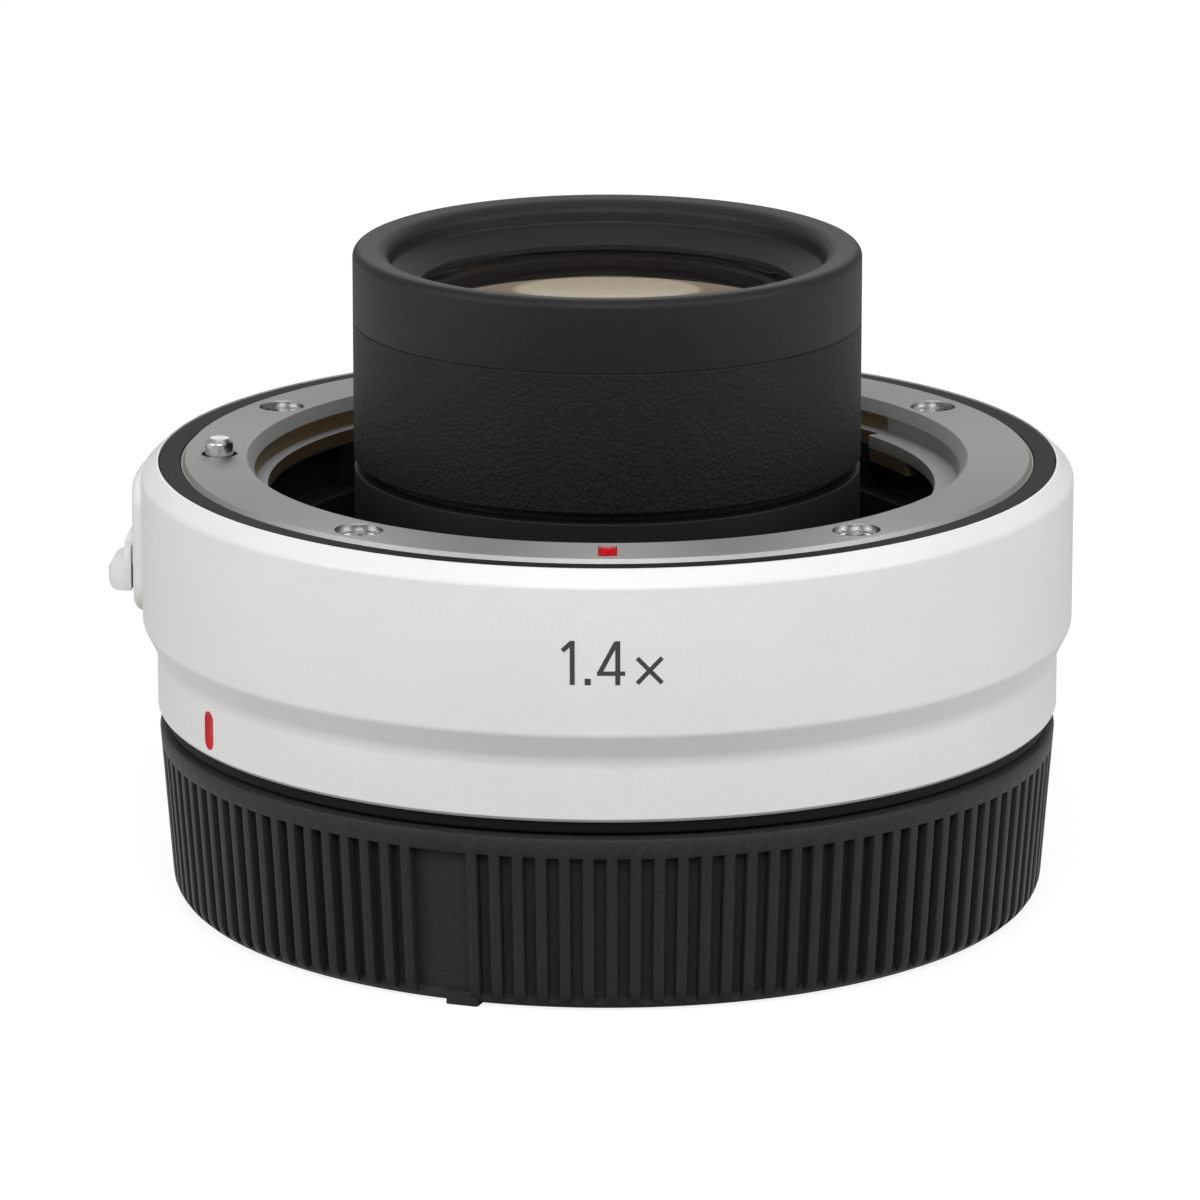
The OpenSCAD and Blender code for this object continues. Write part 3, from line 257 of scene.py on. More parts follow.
# Flint glass over the blackened tube, drawn opaque under the front lens: an even dark olive of painted shade, for the
# tube's darkness seen through the glass, with hardly a mirror of its own.
flint_painted_shade, tree, shader, place = finish("olive_glass_painted_shade", "4a483f", 0.1, Specular_IOR_Level=0.02)
painted_shade_mottle = add_node(tree, "ShaderNodeTexNoise", {"Vector": place, "Scale": 1 / (6 * MM)})["Fac"]
# Painted shade: a slightly mottled olive in place of the dark tube seen through the glass.
add_node(tree, "ShaderNodeMix", {0: painted_shade_mottle, 6: linear("434139"), 7: linear("514f45")}, {2: shader["Base Color"]},
         data_type="RGBA")
fit(domed_glass, flint_painted_shade, "converter", "coated_glass", "triplet_front", crease=25)
# The hidden lenses get the same painted shade.
paint(flint_painted_shade, "triplet_middle", "triplet_rear", "doublet_front", "doublet_rear", "rear_lens")

# Spacers, retaining rings and the flare stop: thin turned aluminium rings, lacquered matt black.
# The retainers screw into the tube's bore and press the spacers and the lenses on their seats.
# Matt lacquer: a dead black, with the fine threads of the bore across it.
matt, tree, shader, place = finish("matt_black_lacquer", "0c0c0c", 0.7, Specular_IOR_Level=0.2)
threads = add_node(tree, "ShaderNodeTexWave", {"Vector": place, "Scale": 1 / (20 * 0.35 * MM)},
                   bands_direction="Z")["Fac"]
add_node(tree, "ShaderNodeMix", {0: threads, 6: linear("080808"), 7: linear("121212")}, {2: shader["Base Color"]},
         data_type="RGBA")
add_node(tree, "ShaderNodeBump", {"Height": threads, "Distance": 0.02 * MM}, {"Normal": shader["Normal"]})
paint(matt, "front_spacer", "triplet_retainer", "rear_spacer", "rear_retainer", "rear_baffle")

# The hood: a turned ring screwed down on the front lens, with a funnel that keeps stray light out.
# It has a finer grained black paint than the tube, so the seam between the two shows.
hood = turned("shade_hood", [
    (18.38, 44.89), (19.33, 44.89, 0.05), (19.33, 50.4, 0.7), (18.5, 50.4, 0.1), (17.35, 50.25, 0.3),
    (16.6, 49.7, 0.35), (16.5, 48.62, 0.12), (14.3, 47.43, 0.1), (14.3, 46.95), (15.3, 46.95),
    (18.38, 46.82)])
# Fine structure paint: grains near 0.15 mm, a little paler than the tube.
structure, tree, shader, place = finish("fine_structure_paint", "161617", 0.52, Specular_IOR_Level=0.22)
speckles = add_node(tree, "ShaderNodeTexNoise", {"Vector": place, "Scale": 1 / (0.16 * MM)})["Fac"]
add_node(tree, "ShaderNodeMix", {0: speckles, 6: linear("080809"), 7: linear("242425")}, {2: shader["Base Color"]},
         data_type="RGBA")
add_node(tree, "ShaderNodeMapRange", {"Value": speckles, "To Min": 0.42, "To Max": 0.62},
         {"Result": shader["Roughness"]})
add_node(tree, "ShaderNodeBump", {"Height": speckles, "Distance": 0.03 * MM}, {"Normal": shader["Normal"]})
fit(hood, structure, "converter", "hood_black", "hood_ring")

# The electronics between the mounts: a printed board on the chassis ring with its chips and two flat
# cables of polyimide film. The barrel closes them in, with the brass shim that sets the rear mount's
# height and the leaf spring that draws a lens against the bayonet tabs.
# Solder mask: a green lacquer, paler in clouds where copper lies under it.
solder_mask, tree, shader, place = finish("green_solder_mask", "0d5a37", 0.35)
tracks = add_node(tree, "ShaderNodeTexNoise", {"Vector": place, "Scale": 1 / (1.2 * MM)})["Fac"]
add_node(tree, "ShaderNodeMix", {0: tracks, 6: linear("0a4a2c"), 7: linear("11663f")}, {2: shader["Base Color"]},
         data_type="RGBA")
add_node(tree, "ShaderNodeMapRange", {"Value": tracks, "To Min": 0.28, "To Max": 0.42},
         {"Result": shader["Roughness"]})
paint(solder_mask, "circuit_board")
# Moulded epoxy: a dull charcoal with the fine grit of its filler.
epoxy, tree, shader, place = finish("moulded_epoxy", "18181a", 0.6)
filler = add_node(tree, "ShaderNodeTexNoise", {"Vector": place, "Scale": 1 / (0.2 * MM)})["Fac"]
add_node(tree, "ShaderNodeMix", {0: filler, 6: linear("141416"), 7: linear("1e1e20")}, {2: shader["Base Color"]},
         data_type="RGBA")
add_node(tree, "ShaderNodeBump", {"Height": filler, "Distance": 0.006 * MM}, {"Normal": shader["Normal"]})
paint(epoxy, "board_chips")
# Polyimide film: smooth amber, a little uneven in depth.
polyimide, tree, shader, place = finish("amber_polyimide", "b4691c", 0.3)
film = add_node(tree, "ShaderNodeTexNoise", {"Vector": place, "Scale": 1 / (2 * MM)})["Fac"]
add_node(tree, "ShaderNodeMix", {0: film, 6: linear("a55d17"), 7: linear("c27526")}, {2: shader["Base Color"]},
         data_type="RGBA")
paint(polyimide, "front_flex_cable", "rear_flex_cable")
# Rolled brass: pale yellow and half bright, clouded by the rolls.
brass_foil, tree, shader, place = finish("rolled_brass_foil", "c9a95e", 0.3, Metallic=1.0)
rolling = add_node(tree, "ShaderNodeTexNoise", {"Vector": place, "Scale": 1 / (0.6 * MM)})["Fac"]
add_node(tree, "ShaderNodeMapRange", {"Value": rolling, "To Min": 0.24, "To Max": 0.4},
         {"Result": shader["Roughness"]})
paint(brass_foil, "rear_mount_shim")
# Spring steel: grey and half bright, duller where the die rubbed it.
spring_steel, tree, shader, place = finish("spring_steel", "a9a9a6", 0.3, Metallic=1.0)
drawing = add_node(tree, "ShaderNodeTexNoise", {"Vector": place, "Scale": 1 / (0.5 * MM)})["Fac"]
add_node(tree, "ShaderNodeMapRange", {"Value": drawing, "To Min": 0.22, "To Max": 0.42},
         {"Result": shader["Roughness"]})
paint(spring_steel, "front_leaf_spring")

# The lock spring: a coil of drawn spring steel wire on a perch of the chassis, under the lever's carriage.
# It takes the form of its solid and stays with the converter; the real coil shortens by the lever's travel while its
# foot stays put.
coil = bpy.data.objects.new("lock_coil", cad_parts["lock_spring"].data.copy())
bpy.context.collection.objects.link(coil)
fit(coil, spring_steel, "converter", "spring_steel", "lock_spring")
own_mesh(coil)

# The contact rail at the back of the well: a moulded black block with a curved liner behind it.
# Twelve blind sleeves are pressed into it, and two screws hold it from below.
RAIL_AZ = 90
RAIL_ARC = 66.4
LINER_ARC = 104
CONTACTS = 12
CONTACT_PITCH = 4.4
CONTACT_CIRCLE = 22.445
SLEEVE_HOLE = 0.68
SLEEVE_FOOT = 24.6
RAIL_TOP = 28.6
contact_azimuths = [RAIL_AZ + (i - (CONTACTS - 1) / 2) * CONTACT_PITCH for i in range(CONTACTS)]
rail = turned("contact_rail", [(20, 24.01), (24.9, 24.01), (24.9, 27.7), (26.2, 27.7), (26.2, RAIL_TOP, 0.1),
                               (20, RAIL_TOP, 0.3)], steps=60, start=RAIL_AZ - RAIL_ARC / 2, arc=RAIL_ARC)
liner = turned("liner", [(26.1, 27.51), (26.9, 27.51), (26.9, 30.8, 0.15), (26.1, 30.8, 0.15)],
               steps=90, start=RAIL_AZ - LINER_ARC / 2, arc=LINER_ARC)


def join(name, pieces):
    """Makes one piece of several."""
    bpy.ops.object.select_all(action="DESELECT")
    for piece in pieces:
        piece.select_set(True)
    bpy.context.view_layer.objects.active = pieces[0]
    bpy.ops.object.join()
    pieces[0].name = pieces[0].data.name = name
    return pieces[0]


def copies(piece, azimuths, radius, height=0, turns=None):
    """Sets a copy of a piece, turned on itself and with its own mesh, at every azimuth and deletes the pattern."""
    placed = []
    for azimuth, turn in zip(azimuths, turns or [0] * len(azimuths)):
        copy = piece.copy()
        copy.data = piece.data.copy()
        bpy.context.collection.objects.link(copy)
        placed.append(put(put(copy, turn), azimuth, radius, 0, height))
    bpy.data.objects.remove(piece)
    return placed


sleeve_hole = turned("sleeve_hole", [(0, SLEEVE_FOOT), (SLEEVE_HOLE, SLEEVE_FOOT), (SLEEVE_HOLE, 29.5), (0, 29.5)],
                     steps=32)
carve(rail, liner, operation="UNION")
carve(rail, join("sleeve_holes", copies(sleeve_hole, contact_azimuths, CONTACT_CIRCLE)))
# Glass-filled plastic: dull black with the faint grain of the tool.
moulding, tree, shader, place = finish("black_glass_filled_plastic", "0f0f10", 0.5, Specular_IOR_Level=0.3)
skin = add_node(tree, "ShaderNodeTexNoise", {"Vector": place, "Scale": 1 / (0.15 * MM)})["Fac"]
add_node(tree, "ShaderNodeMix", {0: skin, 6: linear("09090a"), 7: linear("171718")}, {2: shader["Base Color"]},
         data_type="RGBA")
add_node(tree, "ShaderNodeBump", {"Height": skin, "Distance": 0.006 * MM}, {"Normal": shader["Normal"]})
fit(rail, moulding, "converter", "frame_black", "front_contact_block")
paint(moulding, "rear_contact_block")

# Contacts: turned brass sleeves with gilt pins that spring up through them, round at the tip.
# The pins go down together when a lens is mounted, so they ride on their own body.
SLEEVE = 0.65
SLEEVE_BORE = 0.5
SLEEVE_FLOOR = 25
CONTACT_TIP = 0.45
CONTACT_FOOT = 25.9
CONTACT_HEAD = 29.4
tip_arc = [(CONTACT_TIP * math.cos(math.radians(a)), 28.95 + CONTACT_TIP * math.sin(math.radians(a)))
           for a in range(0, 91, 15)]
sleeve = turned("sleeve", [
    (0, SLEEVE_FOOT), (SLEEVE, SLEEVE_FOOT), (SLEEVE, RAIL_TOP, 0.05), (SLEEVE_BORE, RAIL_TOP, 0.05),
    (SLEEVE_BORE, SLEEVE_FLOOR), (0, SLEEVE_FLOOR)], steps=32)
contact = turned("contact", [(0, CONTACT_FOOT), (CONTACT_TIP, CONTACT_FOOT)] + tip_arc[:-1] + [(0, CONTACT_HEAD)],
                 steps=32)
sleeves = join("contact_sleeves", copies(sleeve, contact_azimuths, CONTACT_CIRCLE))
contacts = join("gilt_contacts", copies(contact, contact_azimuths, CONTACT_CIRCLE))
# Hard gold over nickel: warm, bright and slightly worn by rubbing.
gilt, tree, shader, place = finish("hard_gold_plating", "d8b25c", 0.22, Metallic=1.0)
rubbing = add_node(tree, "ShaderNodeTexNoise", {"Vector": place, "Scale": 1 / (0.4 * MM)})["Fac"]
add_node(tree, "ShaderNodeMix", {0: rubbing, 6: linear("cfa64e"), 7: linear("e0bd6b")}, {2: shader["Base Color"]},
         data_type="RGBA")
add_node(tree, "ShaderNodeMapRange", {"Value": rubbing, "To Min": 0.16, "To Max": 0.32},
         {"Result": shader["Roughness"]})
fit(sleeves, gilt, "converter", "contact_gilt", "front_contact_sleeves")
fit(contacts, gilt, "contact_pin_set", "contact_gilt", "contact_pins", crease=40)
paint(gilt, "rear_contact_pads")

# The rear mount: a turned steel ring with a neck and three lugs, held by four screws in the chassis.
# The cap covers it, and only the rim of its flange is near the light.
# Stainless steel, fine turned: grey and satin, with rings too fine to count that fan the light out.
turned_steel, tree, shader, place = finish("fine_turned_stainless_steel", "9c9c9a", 0.5, Metallic=1.0,
                                           Anisotropic=0.85, Anisotropic_Rotation=0.25,
                                           Specular_Tint=linear("e6e6e6"))
add_node(tree, "ShaderNodeTangent", None, {"Tangent": shader["Tangent"]}, direction_type="RADIAL", axis="Z")
flat = add_node(tree, "ShaderNodeVectorMath", {0: place, 1: (1, 1, 0)}, operation="MULTIPLY")["Vector"]
reach = add_node(tree, "ShaderNodeVectorMath", {0: flat}, operation="LENGTH")["Value"]
rings = add_node(tree, "ShaderNodeTexNoise", {"W": reach, "Scale": 1 / (0.12 * MM)}, noise_dimensions="1D")["Fac"]
add_node(tree, "ShaderNodeMix", {0: rings, 6: linear("929290"), 7: linear("a6a6a4")}, {2: shader["Base Color"]},
         data_type="RGBA")
add_node(tree, "ShaderNodeMapRange", {"Value": rings, "To Min": 0.44, "To Max": 0.56}, {"Result": shader["Roughness"]})
paint(turned_steel, "rear_mount_ring")

# The seal: a moulded ring of soft black rubber round the rear flange, pressed on the barrel's edge.
# A camera's mount squeezes it; here it fills the dark joint between the barrel and the cap.
seal = turned("rubber_seal", [(32.55, 13.95), (33.95, 13.95, 0.25), (33.95, 14.93), (32.55, 14.93)])
# Silicone rubber: deep black and dull, with a faint bloom where it was handled.
rubber, tree, shader, place = finish("black_silicone_rubber", "111111", 0.7, Specular_IOR_Level=0.12)
bloom = add_node(tree, "ShaderNodeTexNoise", {"Vector": place, "Scale": 1 / (0.5 * MM)})["Fac"]
add_node(tree, "ShaderNodeMix", {0: bloom, 6: linear("0c0c0c"), 7: linear("161616")}, {2: shader["Base Color"]},
         data_type="RGBA")
add_node(tree, "ShaderNodeMapRange", {"Value": bloom, "To Min": 0.55, "To Max": 0.85}, {"Result": shader["Roughness"]})
fit(seal, rubber, "converter", "seal_rubber", "rear_seal")

# The outer barrel: a turned aluminium shell, stoved white, that closes the converter all round.
# A raised pad frames the release lever at one side, with a slot through which the lever works.
BARREL = 35.58
BOSS_AZ = 173.5
BOSS_WIDTH = 11.8
BOSS_FOOT = 21.7
BOSS_TOP = 32.53
BOSS_FACE = 36.3
BOSS_ROOT = 33.6
BOSS_CORNER = 2.4
BOSS_EDGE = 0.9
LEVER_AZ = 175.5
LEVER_SLOT = (6, 5, 4.2)
barrel = turned("white_barrel", [
    (32, 14.93), (34.22, 14.93), (34.5, 15.2, 0.05), (34.5, 19.55, 0.6), (BARREL, 21.76, 0.2), (BARREL, 32.93, 0.25),
    (34.4, 34.03, 0.1), (34.25, 34.03), (34.25, 33), (33.2, 33), (33.2, 15.7), (32, 15.7)], steps=256)


def block(name, size, soft=None, segments=6):
    """A cube of a size, with its edges along the named axes rounded, centred on the origin."""
    bpy.ops.object.select_all(action="DESELECT")
    bpy.ops.mesh.primitive_cube_add(size=1, scale=[side * MM for side in size])
    piece = bpy.context.object
    piece.name = piece.data.name = name
    for axis, radius in (soft or {}).items():
        lane = "xyz".index(axis)
        pick(piece, lambda edge: abs((edge.verts[1].co - edge.verts[0].co).normalized()[lane]) > 0.999, "EDGE")
        bpy.ops.mesh.bevel(offset=radius * MM, segments=segments, affect="EDGES")
        bpy.ops.object.mode_set(mode="OBJECT")
    return piece


def wrap(piece, azimuth, radius, slices):
    """Slices a flat piece that faces along X and bends it round the optical axis."""
    bpy.context.view_layer.objects.active = piece
    bpy.ops.object.mode_set(mode="EDIT")
    reach = max(abs(vert.co.y) for vert in bmesh.from_edit_mesh(piece.data).verts)
    for i in range(1, slices):
        bpy.ops.mesh.select_all(action="SELECT")
        bpy.ops.mesh.bisect(plane_co=(0, reach * (2 * i / slices - 1), 0), plane_no=(0, 1, 0))
    bpy.ops.object.mode_set(mode="OBJECT")
    for vert in piece.data.vertices:
        turn = math.radians(azimuth) + vert.co.y / (radius * MM)
        vert.co.x, vert.co.y = vert.co.x * math.cos(turn), vert.co.x * math.sin(turn)
    return piece


boss = block("lever_pad", (BOSS_FACE - BOSS_ROOT, BOSS_WIDTH, BOSS_TOP - BOSS_FOOT), {"x": BOSS_CORNER})
face_x = (BOSS_FACE - BOSS_ROOT) / 2 * MM
pick(boss, lambda edge: all(abs(vert.co.x - face_x) < 1e-7 for vert in edge.verts), "EDGE")
bpy.ops.mesh.bevel(offset=BOSS_EDGE * MM, segments=5, affect="EDGES")
bpy.ops.object.mode_set(mode="OBJECT")
put(boss, 0, (BOSS_FACE + BOSS_ROOT) / 2, 0, (BOSS_FOOT + BOSS_TOP) / 2)
wrap(boss, BOSS_AZ, BARREL, 8)
lever_slot = put(block("lever_slot", LEVER_SLOT, {"x": 0.4}), LEVER_AZ, 35, 0, 25.4)
REAR_MARK_AZ = 210.3
REAR_MARK_Z = 17.1
mark_groove = put(block("mark_groove", (1, 1.4, 3), {"x": 0.69}), REAR_MARK_AZ, 34.7, 0, REAR_MARK_Z)
carve(barrel, boss, operation="UNION")
carve(barrel, lever_slot, mark_groove)
# Stoved white enamel: an even off-white with the fine orange peel of sprayed paint, half gloss.
enamel, tree, shader, place = finish("stoved_white_enamel", "e6e6e4", 0.38, Specular_IOR_Level=0.4)
peel = add_node(tree, "ShaderNodeTexNoise", {"Vector": place, "Scale": 1 / (0.45 * MM), "Detail": 1.5})["Fac"]
cast = add_node(tree, "ShaderNodeTexNoise", {"Vector": place, "Scale": 1 / (9 * MM)})["Fac"]
add_node(tree, "ShaderNodeMix", {0: cast, 6: linear("e2e2e0"), 7: linear("eaeae8")}, {2: shader["Base Color"]},
         data_type="RGBA")
add_node(tree, "ShaderNodeMapRange", {"Value": peel, "To Min": 0.3, "To Max": 0.46}, {"Result": shader["Roughness"]})
add_node(tree, "ShaderNodeBump", {"Height": peel, "Distance": 0.02 * MM}, {"Normal": shader["Normal"]})
fit(barrel, enamel, "converter", "white_paint", "outer_barrel", crease=25)

# The rear index mark: a short upright groove milled in the barrel and filled with red enamel.
# The enamel shrank as it dried, so its middle is hollow and its rim clings to the groove's edge.
rear_mark = block("rear_index_drop", (0.28, 1.38, 2.98), {"x": 0.68})
pick(rear_mark, lambda face: face.normal.x > 0.99, "FACE")
bpy.ops.mesh.inset(thickness=0.08 * MM, depth=0)
bpy.ops.mesh.inset(thickness=0.2 * MM, depth=-0.1 * MM)
bpy.ops.object.mode_set(mode="OBJECT")
put(rear_mark, REAR_MARK_AZ, 34.34, 0, REAR_MARK_Z)
# Red enamel: a deep strong red, half gloss.
red, tree, shader, place = finish("red_enamel", "c8141c", 0.4, Specular_IOR_Level=0.2)
pooling = add_node(tree, "ShaderNodeTexNoise", {"Vector": place, "Scale": 1 / (0.8 * MM)})["Fac"]
add_node(tree, "ShaderNodeMix", {0: pooling, 6: linear("b80f17"), 7: linear("d41c25")}, {2: shader["Base Color"]},
         data_type="RGBA")
add_node(tree, "ShaderNodeMapRange", {"Value": pooling, "To Min": 0.3, "To Max": 0.5}, {"Result": shader["Roughness"]})
fit(rear_mark, red, "converter", "index_red", "rear_index_mark")

# The trim ring: a thin turned aluminium hoop let into the barrel round the front mount.
# It is pressed in flush, and covers the joint between the painted barrel and the steel.
trim = turned("trim_hoop", [(32.55, 33), (34.2, 33), (34.2, 33.95, 0.1), (32.55, 33.95, 0.1)])
# Dark grey anodising over turned rings: satin, even, and darker than the steel beside it.
satin_grey, tree, shader, place = finish("dark_grey_anodised_aluminium", "424242", 0.55, Metallic=1.0,
                                         Specular_Tint=linear("bcbcbc"))
flat = add_node(tree, "ShaderNodeVectorMath", {0: place, 1: (1, 1, 0)}, operation="MULTIPLY")["Vector"]
reach = add_node(tree, "ShaderNodeVectorMath", {0: flat}, operation="LENGTH")["Value"]
rings = add_node(tree, "ShaderNodeTexNoise", {"W": reach, "Scale": 1 / (0.15 * MM)}, noise_dimensions="1D")["Fac"]
add_node(tree, "ShaderNodeMix", {0: rings, 6: linear("393939"), 7: linear("4b4b4b")}, {2: shader["Base Color"]},
         data_type="RGBA")
add_node(tree, "ShaderNodeMapRange", {"Value": rings, "To Min": 0.5, "To Max": 0.62}, {"Result": shader["Roughness"]})
fit(trim, satin_grey, "converter", "grey_trim", "front_trim_ring")

# The front mount: a turned steel ring with three bayonet tabs inside its throat and one stop block.
# Four screws, the lock pin and the red index sit in recesses in its face.
TABS = ((-25, 60), (88, 46), (205, 57))
SCREW_AZ = (31.2, 148.7, 232.3, 307.7)
SCREW_CIRCLE = 29.8
FACE = 34.2
THROAT = 26.9
TAB_EDGE = 25
CHAMFER_IN = 32.18
CHAMFER_OUT = 32.38
CHAMFER_FOOT = 33.87
NEAR = 0.01
mount = turned("front_bayonet_ring", [
    (TAB_EDGE, 31.07, 0.06), (TAB_EDGE, 32.12, 0.06), (THROAT, 32.12), (THROAT, 33.28, 0.06), (27.5, FACE, 0.06),
    (CHAMFER_IN, FACE), (CHAMFER_OUT, CHAMFER_FOOT), (32.5, CHAMFER_FOOT), (32.5, 32.2), (28.2, 32.2),
    (28.2, 31.07)], steps=256)
notches = []
for (first, arc), (after, _) in zip(TABS, TABS[1:] + ((TABS[0][0] + 360, 0),)):
    gap = after - first - arc
    notches.append(turned("notch", [(24, 30), (25.9, 30), (25.9, 33), (24, 33)], steps=round(gap),
                          start=first + arc, arc=gap))
carve(mount, join("notches", notches))
stop = turned("stop", [(25.05, 29.97, 0.1), (26.1, 29.97, 0.1), (26.1, 31.6), (25.05, 31.6)],
              steps=16, start=22.4, arc=12.55)
carve(mount, stop, operation="UNION")
HEAD_HOLE = 1.75
HEAD_SEAT = FACE - 1.15
SHANK_HOLE = 1.0
PIN_HOLE = 1.38
RIM = 0.09
CUT_TOP = 35
screw_hole = turned("screw_hole", [
    (0, 30), (SHANK_HOLE, 30), (SHANK_HOLE, HEAD_SEAT), (HEAD_HOLE, HEAD_SEAT), (HEAD_HOLE, FACE - RIM),
    (HEAD_HOLE + 2 * RIM, FACE + RIM), (HEAD_HOLE + 2 * RIM, CUT_TOP), (0, CUT_TOP)], steps=64)
pin_hole = put(turned("pin_hole", [
    (0, 31.5), (PIN_HOLE, 31.5), (PIN_HOLE, FACE - RIM), (PIN_HOLE + 2 * RIM, FACE + RIM),
    (PIN_HOLE + 2 * RIM, CUT_TOP), (0, CUT_TOP)], steps=64), PIN_AZ, PIN_CIRCLE)
INDEX_AZ = 270
INDEX_MID = 29.85
index_slot = put(block("index_slot", (3.1, 1.4, 1), {"z": 0.35}), INDEX_AZ, INDEX_MID, 0, FACE + 0.2)
carve(mount, join("mount_holes", copies(screw_hole, SCREW_AZ, SCREW_CIRCLE) + [pin_hole, index_slot]))
fit(mount, turned_steel, "converter", "mount_steel", "front_mount_ring", crease=25)
# Polished stainless steel: bright, with fine scratches from the tool; it lines the screw holes.
bright_steel, tree, shader, place = finish("polished_stainless_steel", "c0c0be", 0.28, Metallic=1.0)
scuffs = add_node(tree, "ShaderNodeTexNoise", {"Vector": place, "Scale": 1 / (0.6 * MM)})["Fac"]
add_node(tree, "ShaderNodeMix", {0: scuffs, 6: linear("b6b6b4"), 7: linear("cacac8")}, {2: shader["Base Color"]},
         data_type="RGBA")
add_node(tree, "ShaderNodeMapRange", {"Value": scuffs, "To Min": 0.22, "To Max": 0.34}, {"Result": shader["Roughness"]})
# Painted reflection: the steel's inward walls in the gaps between the tabs, below the tabs and on the side of the stop
# are coloured brown, for the warm cast they show in the shade of the throat.
throat_brown_reflection, tree, shader, place = finish("painted_brown_reflection_steel", "8c795e", 0.5, Metallic=1.0)
scale = add_node(tree, "ShaderNodeTexNoise", {"Vector": place, "Scale": 1 / (0.25 * MM)})["Fac"]
add_node(tree, "ShaderNodeMix", {0: scale, 6: linear("7a684f"), 7: linear("9e8a6d")}, {2: shader["Base Color"]},
         data_type="RGBA")
# The outer chamfer, cut last with a sharp tool: a thin bright line that glows all along the front.
bright_cut, tree, shader, place = finish("bright_cut_edge", "9a9a98", 0.52, Metallic=1.0)
chatter = add_node(tree, "ShaderNodeTexNoise", {"Vector": place, "Scale": 1 / (0.5 * MM)})["Fac"]
add_node(tree, "ShaderNodeMapRange", {"Value": chatter, "To Min": 0.47, "To Max": 0.57},
         {"Result": shader["Roughness"]})
for material in (bright_steel, throat_brown_reflection, bright_cut):
    mount.data.materials.append(material)
holes = [(azimuth, SCREW_CIRCLE) for azimuth in SCREW_AZ] + [(PIN_AZ, PIN_CIRCLE)]
for face in mount.data.polygons:
    x, y, z = (part / MM for part in face.center)
    azimuth = math.degrees(math.atan2(y, x))
    gap = not any((azimuth - first) % 360 < arc for first, arc in TABS)
    if any(math.hypot(x - radius * math.cos(math.radians(turn)), y - radius * math.sin(math.radians(turn)))
           < HEAD_HOLE + 2 * RIM for turn, radius in holes) and z < FACE - 0.001:
        face.material_index = 1
    # Inward-facing walls of the throat, in the gaps and below the tabs: the painted brown reflection.
    elif abs(face.normal.z) < 0.3 and math.hypot(x, y) < 27 and (gap or z < 31):
        face.material_index = 2
    elif CHAMFER_IN < math.hypot(x, y) < CHAMFER_OUT + NEAR and z > CHAMFER_FOOT - NEAR:
        face.material_index = 3

# The front index: a small bar of red enamel in a slot of the mount face.
# A raised rim runs round its sunken middle; it marks where a lens is set on before the twist.
front_mark = block("front_index_bar", (3.06, 1.36, 0.18), {"z": 0.34})
pick(front_mark, lambda face: face.normal.z > 0.99, "FACE")
bpy.ops.mesh.inset(thickness=0.3 * MM, depth=0)
bpy.ops.mesh.inset(thickness=0.1 * MM, depth=-0.1 * MM)
bpy.ops.object.mode_set(mode="OBJECT")
put(front_mark, INDEX_AZ, INDEX_MID, 0, 33.99)
fit(front_mark, red, "converter", "index_red", "front_index_mark")

# Mount screws: stainless cross-head screws with flat heads, sunk below the mount face.
# They hold the steel to the chassis, and the small screws inside have the same polish.
HEAD = 1.55
HEAD_THICK = 0.75
SHANK = 0.85
SHANK_END = -3.95
SCREW_SINK = 0.55
CROSS_TURNS = (20, 70, 35, 8)
CROSS_LONG, CROSS_WIDE, CROSS_DEEP = 2.1, 0.42, 1.1
screw = turned("screw", [(0, SHANK_END), (SHANK, SHANK_END), (SHANK, -HEAD_THICK), (HEAD, -HEAD_THICK),
                         (HEAD, 0, 0.2), (0, 0)], steps=48)
cross = block("cross", (CROSS_LONG, CROSS_WIDE, CROSS_DEEP), {"x": 0.1}, segments=2)
other_arm = block("other_arm", (CROSS_WIDE, CROSS_LONG, CROSS_DEEP), {"y": 0.1}, segments=2)
carve(cross, other_arm, operation="UNION")
carve(screw, cross)
screws = copies(screw, SCREW_AZ, SCREW_CIRCLE, FACE - SCREW_SINK, CROSS_TURNS)
fit(join("mount_face_screws", screws), bright_steel, "converter", "screw_steel", "front_mount_screws")
paint(bright_steel, "contact_block_screws", "board_screws", "rear_contact_screws", "rear_mount_screws",
      "tube_screws", "baffle_screws", "lever_screws")

# The lock pin: a ground steel pin that stands out of the mount face and drops when the lever is pulled.
# A thin tail ties it to the carriage, a grey plastic slide behind the barrel wall.
PEG = 1.07
PEG_TAIL = 0.6
PEG_COLLAR = 1.35
PEG_TOP = 35.43
pin = put(turned("lock_peg", [
    (0, 25.6), (PEG_TAIL, 25.6), (PEG_TAIL, 29.2), (PEG_COLLAR, 29.2), (PEG_COLLAR, 30), (PEG, 30),
    (PEG, 35.08, 0.08), (0.72, PEG_TOP, 0.08), (0, PEG_TOP)], steps=64), PIN_AZ, PIN_CIRCLE)
fit(pin, bright_steel, "release", "pin_steel", "lock_pin")
# Grey acetal: an even mid grey, smooth and dull like wax, with faint clouds from the flow in the mould.
acetal, tree, shader, place = finish("grey_acetal", "5a5a5e", 0.5)
flow = add_node(tree, "ShaderNodeTexNoise", {"Vector": place, "Scale": 1 / (1.5 * MM)})["Fac"]
add_node(tree, "ShaderNodeMix", {0: flow, 6: linear("545458"), 7: linear("626266")}, {2: shader["Base Color"]},
         data_type="RGBA")
skin = add_node(tree, "ShaderNodeTexNoise", {"Vector": place, "Scale": 1 / (0.15 * MM)})["Fac"]
add_node(tree, "ShaderNodeBump", {"Height": skin, "Distance": 0.004 * MM}, {"Normal": shader["Normal"]})
paint(acetal, "lever_carriage")

